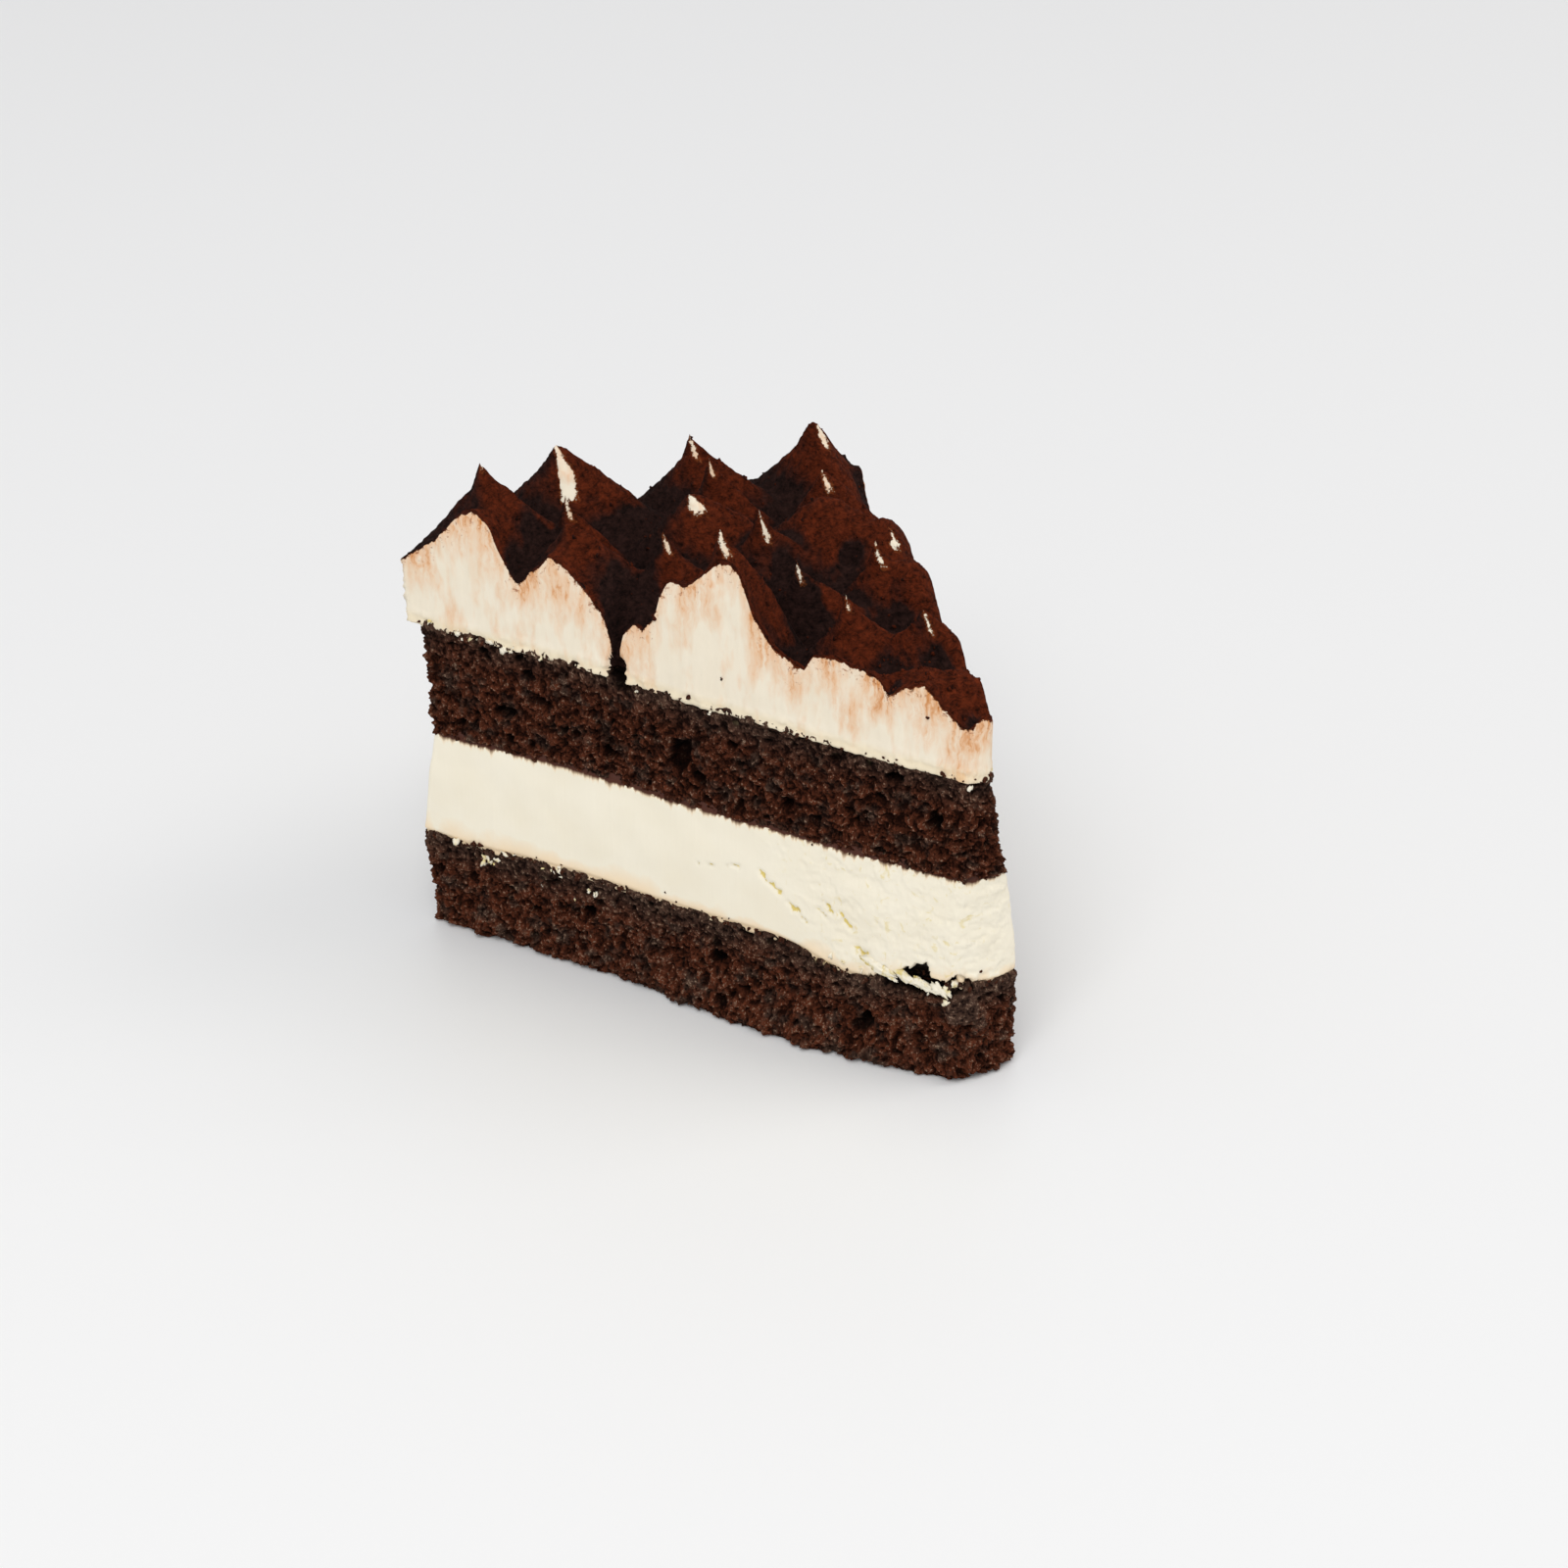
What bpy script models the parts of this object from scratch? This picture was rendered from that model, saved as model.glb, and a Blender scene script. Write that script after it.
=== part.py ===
"""A slice of round layer cake: sponge, cream filling, sponge, and a cream topping pulled up into peaks.

The sizes are in millimetres. x runs from the centre of the cake out to its rim along the front cut, y runs
back from the front cut, and z runs up from the base. The slice's blunt tip is at the right.
"""

import math

import bmesh
import bpy
import numpy as np

MM = 0.001

# Cake and cuts
SLICE_ANGLE = math.radians(45.5)
CENTRE_X = 66.5  # the cake's centre, right of the part's origin
FRONT_Y = -38.9  # the front cut, in front of the part's origin
GAP = 0.3  # clearance between one layer and the next

# Rim of the cake at the front cut: height and radius, the soft filling pressed out at its foot
RIM_PROFILE = ((0, 120.5), (19, 122.5), (39.5, 119), (62, 120.5))
TOPPING_OVERHANG = 2.5
RIM_DRIFT = 0.07  # the cuts cross short of the cake's centre, so the back cut is this much shorter

# Blunt tip: (x, y) where the front cut ends and the back cut starts, at the base and in the upper layers
TIP_FRONT_LOW = (17.0, 0.0)
TIP_BACK_LOW = (10.0, 10.0)
TIP_FRONT_HIGH = (15.5, 0.0)
TIP_BACK_HIGH = (13.2, 3.6)
TIP_LEAN_FROM = 18.0  # the tip leans in between these heights
TIP_LEAN_TO = 62.0
TIP_ROUNDING = 1.0

# The soft lower sponge spreads forward at its foot, in the middle of the cut
FOOT_SPREAD = 3.8
FOOT_MIDDLE = 49.0
FOOT_REACH = 26.0
FOOT_HEIGHT = 8.0
FOOT_WIDTH = 0.4  # share of the way to the back cut

# Where two layers meet: height at the tip and at the rim, size of the slow waves, and depth of the sag
LOWER_JOINT = (18.2, 19.4, 0.5, 3.0)
MIDDLE_JOINT = (39.0, 40.2, 0.4, 0.0)
UPPER_JOINT = (58.9, 62.4, 0.4, 0.0)
SAG_X = 36.0
SAG_REACH = 9.0
WAVES = ((0.6, 11.0, 17.0), (0.4, 6.5, -9.0))  # share of the size, and length along x and along y

# Mesh of a layer: cells from cut to cut and from tip to rim, and cuts across each cell under the peaks
CELLS_ACROSS = 10
CELLS_OUTWARD = 12
TOPPING_CUTS = 4

# Peaks of the topping: x, y and z of the tip, slope of the flanks, height of the spike that was pulled out of
# the top, and how far the top is rounded off
PEAKS = (
    (111, 7, 91, 1.25, 3.0, 0.3),
    (109, 27, 87, 1.15, 0.5, 0.6),
    (95, 49, 83.5, 1.15, 3.0, 0.3),
    (79.5, 67, 81, 1.1, 1.5, 0.6),
    (98, 13, 86, 1.6, 3.0, 0.3),
    (94, 4.5, 84, 1.15, 0.5, 0.5),
    (86, 41, 83.5, 1.35, 3.0, 0.3),
    (68.5, 50, 81.5, 1.45, 1.5, 0.6),
    (66, 40, 78.5, 1.1, 0.0, 2.5),
    (84.5, 28.5, 81.5, 1.15, 0.0, 2.0),
    (79, 13, 83.5, 1.35, 3.0, 0.3),
    (64, 6, 90, 1.35, 3.0, 0.3),
    (70, 30, 82.5, 1.25, 3.0, 0.3),
    (49.5, 30.5, 81, 1.25, 3.0, 0.3),
    (51, 43.5, 77.5, 1.0, 0.0, 5.0),
    (41, 33.5, 76.5, 1.0, 0.0, 3.5),
    (58.3, 18.5, 82, 1.25, 3.0, 0.3),
    (44, 12, 80.5, 1.05, 3.0, 0.3),
    (32, 16, 79, 1.05, 1.5, 0.6),
    (27, 5, 75.5, 0.9, 0.0, 2.5),
    (19, 8, 74.5, 1.0, 0.0, 4.5),
)
SPIKE_WIDTH = 1.2
CREST_POWER = 1.45  # under 2 the flanks meet in crests, as a spoon leaves them
PULL = (-0.88, 0.476)  # (x, y) direction away from the pull, along which a crest trails
TRAIL = 1.25  # a foot reaches this much further along the trailing crest
UNDERCUT = 0.85  # and this much less on the other side
LEAN = 1.5  # how far a tip leans over against the crest
VALLEY_OVER_JOINT = 3.0  # least cream between peaks
BLEND = 1.0  # softness of the creases between peaks

# Top of the cream at the front cut: x and z along the knife's line
FRONT_EDGE = (
    (124, 73), (111, 85), (107, 86.5), (103, 78), (100, 73), (95, 79.5), (93, 81), (88, 76.5), (84, 72),
    (81, 66), (78.5, 70), (75.5, 72), (72, 81), (69, 82.5), (66, 82), (60, 88), (57, 85), (52, 77),
    (47, 73.5), (42, 75.5), (35, 74), (30.5, 71.5), (25, 74), (20, 71), (16, 68), (12, 71),
)  # fmt: skip
FRONT_EDGE_DEPTH = 4.5

# Looks: linear colour and roughness
SPONGE = ((0.036, 0.012, 0.008), 0.9)
CREAM = ((0.80, 0.72, 0.58), 0.5)


def smooth(value, low, high):
    """0 below low and 1 above high, with a soft step between."""
    share = np.clip((value - low) / (high - low), 0.0, 1.0)
    return share * share * (3.0 - 2.0 * share)


def plan(across, outward, height, overhang):
    """(x, y) in the slice, from shares of the way from cut to cut and from the tip to the rim."""
    lean = smooth(height, TIP_LEAN_FROM, TIP_LEAN_TO)
    front = [low + (high - low) * lean for low, high in zip(TIP_FRONT_LOW, TIP_FRONT_HIGH)]
    back = [low + (high - low) * lean for low, high in zip(TIP_BACK_LOW, TIP_BACK_HIGH)]
    bulge = TIP_ROUNDING * 4.0 * across * (1.0 - across)
    inner_x = front[0] + (back[0] - front[0]) * across - bulge
    inner_y = front[1] + (back[1] - front[1]) * across - 0.5 * bulge * across
    angle = SLICE_ANGLE * across
    heights, radii = zip(*RIM_PROFILE)
    reach = (np.interp(height, heights, radii) + overhang) * (1.0 - RIM_DRIFT * across)
    x = inner_x + (reach * np.cos(angle) - inner_x) * outward
    y = inner_y + (reach * np.sin(angle) - inner_y) * outward
    return x, y


def joint(heights, x, y):
    """Height of the joint between two layers, with slow waves and a sag near the tip."""
    at_tip, at_rim, wave, sag = heights
    reach = np.hypot(x, y) / RIM_PROFILE[0][1]
    ripple = sum(share * np.sin(x / along_x + y / along_y) for share, along_x, along_y in WAVES)
    hollow = sag * np.exp(-(((x - SAG_X) / SAG_REACH) ** 2) - (y / SAG_REACH) ** 2)
    return at_tip + (at_rim - at_tip) * reach + wave * ripple - hollow


def peak_surface(x, y, peak):
    """Height of one pulled peak over a point, falling away in crests from its tip."""
    tip_x, tip_y, tip_z, slope, spike_height, rounding = peak
    foot_x = x - tip_x - LEAN * PULL[0]
    foot_y = y - tip_y - LEAN * PULL[1]
    along = foot_x * PULL[0] + foot_y * PULL[1]
    aside = np.abs(foot_x * PULL[1] - foot_y * PULL[0])
    along = np.where(along > 0.0, along / TRAIL, -along / UNDERCUT)
    away = (along**CREST_POWER + aside**CREST_POWER) ** (1.0 / CREST_POWER)
    spike = spike_height * (1.0 - np.exp(-away / SPIKE_WIDTH))
    return tip_z - spike - slope * (np.hypot(away, rounding) - rounding)


def topping_top(x, y):
    """Height of the pulled cream: the highest peak over each point, with soft creases between peaks."""
    heights = [joint(UPPER_JOINT, x, y) + VALLEY_OVER_JOINT]
    heights += [peak_surface(x, y, peak) for peak in PEAKS]
    highest = np.max(heights, axis=0)
    total = sum(np.exp((height - highest) / BLEND) for height in heights)
    field = highest + BLEND * np.log(total)
    edge_x, edge_z = zip(*reversed(FRONT_EDGE))
    edge = np.interp(x, edge_x, edge_z)
    near = np.exp(-((y / FRONT_EDGE_DEPTH) ** 2))
    return field + (edge - field) * near


def foot(x, across, height):
    """How much of the foot's spread a point takes: all of it at the base of the front cut."""
    middle = np.exp(-(((x - FOOT_MIDDLE) / FOOT_REACH) ** 2))
    return middle * (1.0 - smooth(across, 0.0, FOOT_WIDTH)) * (1.0 - smooth(height, 0.0, FOOT_HEIGHT))


def flat_base(x, y):
    return np.zeros_like(x)


def layer(name, floor, roof, look, overhang=0.0, cuts=0):
    """One layer as a closed body between its floor and roof heights, in a node of its own."""
    mesh = bmesh.new()
    bmesh.ops.create_grid(mesh, x_segments=CELLS_ACROSS, y_segments=CELLS_OUTWARD, size=0.5)
    bmesh.ops.translate(mesh, verts=mesh.verts, vec=(0.5, 0.5, 0.0))
    raised = bmesh.ops.extrude_face_region(mesh, geom=mesh.faces[:], use_keep_orig=True)
    top = [item for item in raised["geom"] if isinstance(item, bmesh.types.BMVert)]
    bmesh.ops.translate(mesh, verts=top, vec=(0.0, 0.0, 1.0))
    if cuts:
        top_edges = [edge for edge in mesh.edges if all(vert.co.z > 0.5 for vert in edge.verts)]
        bmesh.ops.subdivide_edges(mesh, edges=top_edges, cuts=cuts, use_grid_fill=True)
    mesh.verts.ensure_lookup_table()
    across, outward, level = np.array([vert.co for vert in mesh.verts]).T
    # The tip's lean depends on the height, so the height is found from a first plan of the upright slice.
    x, y = plan(across, outward, 0.0, overhang)
    height = np.where(level > 0.5, roof(x, y), floor(x, y))
    x, y = plan(across, outward, height, overhang)
    height = np.where(level > 0.5, roof(x, y), floor(x, y))
    y = y - FOOT_SPREAD * foot(x, across, height)
    points = np.stack([(CENTRE_X - x) * MM, (FRONT_Y + y) * MM, height * MM], axis=1)
    for vert, point in zip(mesh.verts, points):
        vert.co = point
    bmesh.ops.recalc_face_normals(mesh, faces=mesh.faces)
    data = bpy.data.meshes.new(name)
    mesh.to_mesh(data)
    mesh.free()
    node = bpy.data.objects.new(name, data)
    data.materials.append(food_material(name, *look))
    data.shade_smooth()
    return node


def food_material(name, colour, roughness):
    material = bpy.data.materials.new(name)
    material.use_nodes = True
    shader = material.node_tree.nodes["Principled BSDF"]
    shader.inputs["Base Color"].default_value = (*colour, 1.0)
    shader.inputs["Roughness"].default_value = roughness
    shader.inputs["Metallic"].default_value = 0.0
    return material


def draw_out_tips(node):
    """Moves the nearest point of the mesh out to each sharp peak's own tip."""
    for tip_x, tip_y, tip_z, _, spike_height, _ in PEAKS:
        tip = ((CENTRE_X - tip_x) * MM, (FRONT_Y + tip_y) * MM)
        if spike_height:
            nearest = min(node.data.vertices, key=lambda vert: math.dist(vert.co.xy, tip) - vert.co.z)
            nearest.co = (*tip, tip_z * MM)


def clear_scene():
    for item in list(bpy.data.objects):
        bpy.data.objects.remove(item, do_unlink=True)


def offset(heights, by):
    return lambda x, y: joint(heights, x, y) + by


clear_scene()
half = GAP / 2
topping_floor = offset(UPPER_JOINT, half)
layers = [
    layer("lower_sponge", flat_base, offset(LOWER_JOINT, -half), SPONGE),
    layer("cream_filling", offset(LOWER_JOINT, half), offset(MIDDLE_JOINT, -half), CREAM),
    layer("upper_sponge", offset(MIDDLE_JOINT, half), offset(UPPER_JOINT, -half), SPONGE),
    layer("cream_topping", topping_floor, topping_top, CREAM, TOPPING_OVERHANG, TOPPING_CUTS),
]
cake = bpy.data.collections.new("tiramisu_slice")
bpy.context.scene.collection.children.link(cake)
for node in layers:
    cake.objects.link(node)
draw_out_tips(layers[-1])
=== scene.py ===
import math
import random

import bmesh
import bpy
import numpy as np
from mathutils import Euler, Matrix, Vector, noise
from mathutils.bvhtree import BVHTree


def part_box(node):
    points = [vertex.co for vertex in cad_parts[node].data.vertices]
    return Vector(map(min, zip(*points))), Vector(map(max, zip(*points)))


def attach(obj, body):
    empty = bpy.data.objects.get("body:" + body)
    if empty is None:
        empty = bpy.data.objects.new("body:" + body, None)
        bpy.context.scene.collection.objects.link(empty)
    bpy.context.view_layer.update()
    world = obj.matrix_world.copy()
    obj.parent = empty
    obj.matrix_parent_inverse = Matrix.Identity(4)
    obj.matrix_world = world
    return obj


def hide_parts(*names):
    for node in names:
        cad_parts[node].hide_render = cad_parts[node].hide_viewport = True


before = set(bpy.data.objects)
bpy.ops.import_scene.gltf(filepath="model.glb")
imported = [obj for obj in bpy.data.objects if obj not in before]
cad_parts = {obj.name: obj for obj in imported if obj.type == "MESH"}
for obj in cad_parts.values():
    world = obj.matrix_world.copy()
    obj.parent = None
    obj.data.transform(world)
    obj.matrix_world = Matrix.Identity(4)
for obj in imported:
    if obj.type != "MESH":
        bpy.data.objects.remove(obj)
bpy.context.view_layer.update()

# ------------------------------------------------------------------------------------------------------------
# Lower sponge. Cocoa sponge, baked in a round tin, split, and soaked with coffee syrup. A knife cut it with
# the whole cake, tearing the open crumb, and the wet foot of the slice spreads a little where it stands.
#
# Sizes in this script are in millimetres, in the slice's own axes: x from the middle of the round cake along
# the front cut to the rim, y back from the front cut, and z up.

MM = 0.001
TOPPING_RADIUS = 123.0  # from the cake's middle to the edge of its topping
CENTRE_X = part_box("cream_topping")[0].x / MM + TOPPING_RADIUS
FRONT_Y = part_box("upper_sponge")[0].y / MM  # the knife's plane
SLICE_ANGLE = math.radians(45.5)
SIDE_LENGTHS = (105.0, 92.0, 97.0, 11.0)  # front cut, rim, back cut and blunt tip
SIDE_SHARES = (0.42, 0.25, 0.28, 0.05)  # share of the points that each side gets
CORNER = 0.7  # how far a soft corner is rounded, each way
RIM_PROFILE = ((0, 120.5), (19, 122.5), (39.5, 119), (62, 120.5))  # height, and radius of the rim there
RIM_DRIFT = 0.07  # share of its radius that the rim loses from the front cut to the back cut
TIP_FRONT_LOW = (17.0, 0.0)  # ends of the blunt tip at its foot and, leaning in, at the upper sponge's top
TIP_BACK_LOW = (10.0, 10.0)
TIP_FRONT_HIGH = (15.5, 0.0)
TIP_BACK_HIGH = (13.2, 3.6)
TIP_LEAN_FROM = 18.0
TIP_LEAN_TO = 62.0
TIP_ROUNDING = 1.0
SIDE_STEP = 0.001  # share of the way round over which a side's direction is measured
FOOT_SPREAD = 3.8  # how far the foot spreads out of the front cut, where, and up to what height
FOOT_MIDDLE = 49.0
FOOT_REACH = 26.0
FOOT_DEPTH = 20.0
FOOT_HEIGHT = 8.0
FOOT_SCALLOP = 1.2
LOWER_JOINT = (18.2, 19.4, 0.5, 3.0)  # height at the tip and at the rim, slow waves, and sag near the tip
SAG_X = 36.0
SAG_REACH = 9.0
WAVES = ((0.6, 11.0, 17.0), (0.4, 6.5, -9.0))  # share, and lengths along x and y over which a wave turns

SPONGE_AROUND = 1200
SPONGE_ROWS = 74
END_RINGS = (0.012, 0.03, 0.1, 0.3)  # widths of the rings in each end of a layer
SIDE_FROM = 0.96  # share of the way out from a layer's middle where its side starts
GRANULE = 0.8  # between the middles of neighbouring granules of crumb
GRANULE_SQUASH = 1.25
STIR = 0.8  # how far the crumb is stirred out of even rows, and over what distance
STIR_SIZE = 1.6
CREVICE_DEPTH = 0.25
HOLE_DEPTH = 3.2
# Seed, spacing, share of the places that have one, radius and depth of the small, medium and large pores
PORES = ((0.0, 1.3, 0.6, 0.5, 0.8), (7.0, 2.6, 0.35, 0.9, 1.5), (3.0, 6.0, 0.3, 1.4, 2.2))
SPONGE_SEED = 558.0
SWELL = 0.45  # height of slow swells, of granules and of fine crumb on the torn sides, and what soaking takes
GRANULE_RISE = 0.2
FINE_RISE = 0.65
FINE_SOAKED = 0.25
ROOF_SET_BACK = 0.6  # how far the torn edges lie behind the sides
FLOOR_SET_BACK = 0.4

noise.seed_set(3)  # without a seed, noise_vector changes from run to run


def smooth(value, low, high):
    """0 below low and 1 above high, with a soft step between."""
    share = np.clip((value - low) / (high - low), 0.0, 1.0)
    return share * share * (3.0 - 2.0 * share)


def plan(across, outward, height, overhang=0.0):
    """(x, y) in the slice, from shares of the way from cut to cut and from the tip to the rim."""
    lean = smooth(height, TIP_LEAN_FROM, TIP_LEAN_TO)
    front = [low + (high - low) * lean for low, high in zip(TIP_FRONT_LOW, TIP_FRONT_HIGH)]
    back = [low + (high - low) * lean for low, high in zip(TIP_BACK_LOW, TIP_BACK_HIGH)]
    bulge = TIP_ROUNDING * 4.0 * across * (1.0 - across)
    inner_x = front[0] + (back[0] - front[0]) * across - bulge
    inner_y = front[1] + (back[1] - front[1]) * across - 0.5 * bulge * across
    angle = SLICE_ANGLE * across
    heights, radii = zip(*RIM_PROFILE)
    reach = (np.interp(height, heights, radii) + overhang) * (1.0 - RIM_DRIFT * across)
    x = inner_x + (reach * np.cos(angle) - inner_x) * outward
    y = inner_y + (reach * np.sin(angle) - inner_y) * outward
    return x, y


def outline(share, height, overhang=0.0):
    """(x, y) on the slice's outline, from the share of the way round it, with softened corners."""
    stations = np.cumsum((0.0,) + SIDE_LENGTHS)
    round_trip = np.interp(share % 1.0, np.cumsum((0.0,) + SIDE_SHARES), stations)
    places = []
    for step in (-CORNER, -0.5 * CORNER, 0.0, 0.5 * CORNER, CORNER):
        distance = (round_trip + step) % stations[-1]
        outward = np.interp(distance, stations, (0.0, 1.0, 1.0, 0.0, 0.0))
        across = np.interp(distance, stations, (0.0, 0.0, 1.0, 1.0, 0.0))
        places.append(plan(across, outward, height, overhang))
    return np.mean(places, axis=0)


def joint(heights, x, y):
    """Height of the joint between two layers, with slow waves and a sag near the tip."""
    at_tip, at_rim, wave, sag = heights
    reach = np.hypot(x, y) / RIM_PROFILE[0][1]
    ripple = sum(share * np.sin(x / along_x + y / along_y) for share, along_x, along_y in WAVES)
    hollow = sag * np.exp(-(((x - SAG_X) / SAG_REACH) ** 2) - (y / SAG_REACH) ** 2)
    return at_tip + (at_rim - at_tip) * reach + wave * ripple - hollow


def unevenness(points, size, octaves=3):
    """Soft random bumps that many millimetres apart, from about -1 to 1."""
    return np.array([noise.fractal(place, 0.8, 2.0, octaves) for place in (points / size).tolist()])


CHANCE_MIX = (12.9898, 78.233, 37.719)  # these turn a place into a number that looks random
CHANCE_SPREAD = 43758.5453


def granules(points, size):
    """Distances to the nearest and next scattered granule, in sizes, and a chance number of the nearest."""
    found = [noise.voronoi(place) for place in (points / size).tolist()]
    nearest = np.array([distances[0] for distances, _ in found])
    following = np.array([distances[1] for distances, _ in found])
    centres = np.array([tuple(places[0]) for _, places in found])
    return nearest, following, np.sin(centres @ CHANCE_MIX) * CHANCE_SPREAD % 1.0


def pores(points, spacing, share, radius):
    """How deep each point is in a pore, from 0 to 1, where a share of the places so far apart have one."""
    nearest, _, chance = granules(points, spacing)
    reach = radius / spacing * (0.6 + 0.8 * chance / share)
    return np.where(chance < share, smooth(1.0 - nearest / reach, 0.0, 0.55), 0.0)


def drum(segments, rows):
    """A closed upright drum, one unit in radius and height, with rows up its wall and rings in its ends."""
    body = bmesh.new()
    bmesh.ops.create_circle(body, cap_ends=True, segments=segments, radius=1.0)
    raised = bmesh.ops.extrude_face_region(body, geom=body.faces[:], use_keep_orig=True)
    top = [item for item in raised["geom"] if isinstance(item, bmesh.types.BMVert)]
    bmesh.ops.translate(body, verts=top, vec=(0.0, 0.0, 1.0))
    ends = [face for face in body.faces if len(face.verts) == segments]
    for width in END_RINGS:
        bmesh.ops.inset_region(body, faces=ends, thickness=width)
    bmesh.ops.poke(body, faces=ends)
    uprights = [edge for edge in body.edges if abs(edge.verts[0].co.z - edge.verts[1].co.z) > 0.5]
    bmesh.ops.subdivide_edges(body, edges=uprights, cuts=rows - 1, use_grid_fill=True)
    return body


LAYER_MIDDLE = (0.5, 0.55)  # shares from cut to cut and from the tip to the rim


def layer_places(body, floor, roof, overhang=0.0):
    """Each point of a drum, placed in the slice, with its share round, its share outward and its level."""
    unit = np.array([vert.co for vert in body.verts])
    share = np.arctan2(unit[:, 1], unit[:, 0]) / (2.0 * math.pi) % 1.0
    nearness = np.clip(np.hypot(unit[:, 0], unit[:, 1]), 0.0, 1.0)
    level = unit[:, 2]
    middle = np.array(plan(*LAYER_MIDDLE, 0.0))
    height = np.zeros_like(level)
    for _ in range(2):
        x, y = outline(share, height, overhang)
        x = middle[0] + (x - middle[0]) * nearness
        y = middle[1] + (y - middle[1]) * nearness
        height = floor(x, y) + (roof(x, y) - floor(x, y)) * level
    return np.stack([x, y, height], axis=1), share, nearness, level


def outward_of(share, height, overhang=0.0):
    """The level direction out of the slice's side, at a share of the way round."""
    ahead = outline(share + SIDE_STEP, height, overhang)
    behind = outline(share - SIDE_STEP, height, overhang)
    run = ahead - behind
    return np.stack([run[1], -run[0], np.zeros_like(share)], axis=1) / np.hypot(*run)[:, None]


def piece_of(name, body, places, marks):
    """The finished piece: its points moved to their places, with named values at each point."""
    placed = np.stack([CENTRE_X - places[:, 0], FRONT_Y + places[:, 1], places[:, 2]], axis=1) * MM
    for vert, place in zip(body.verts, placed):
        vert.co = place
    bmesh.ops.recalc_face_normals(body, faces=body.faces[:])
    data = bpy.data.meshes.new(name)
    body.to_mesh(data)
    body.free()
    data.shade_smooth()
    for mark, values in marks.items():
        data.attributes.new(mark, "FLOAT", "POINT").data.foreach_set("value", values.astype(np.float32))
    piece = bpy.data.objects.new(name, data)
    bpy.context.scene.collection.objects.link(piece)
    return piece


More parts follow.
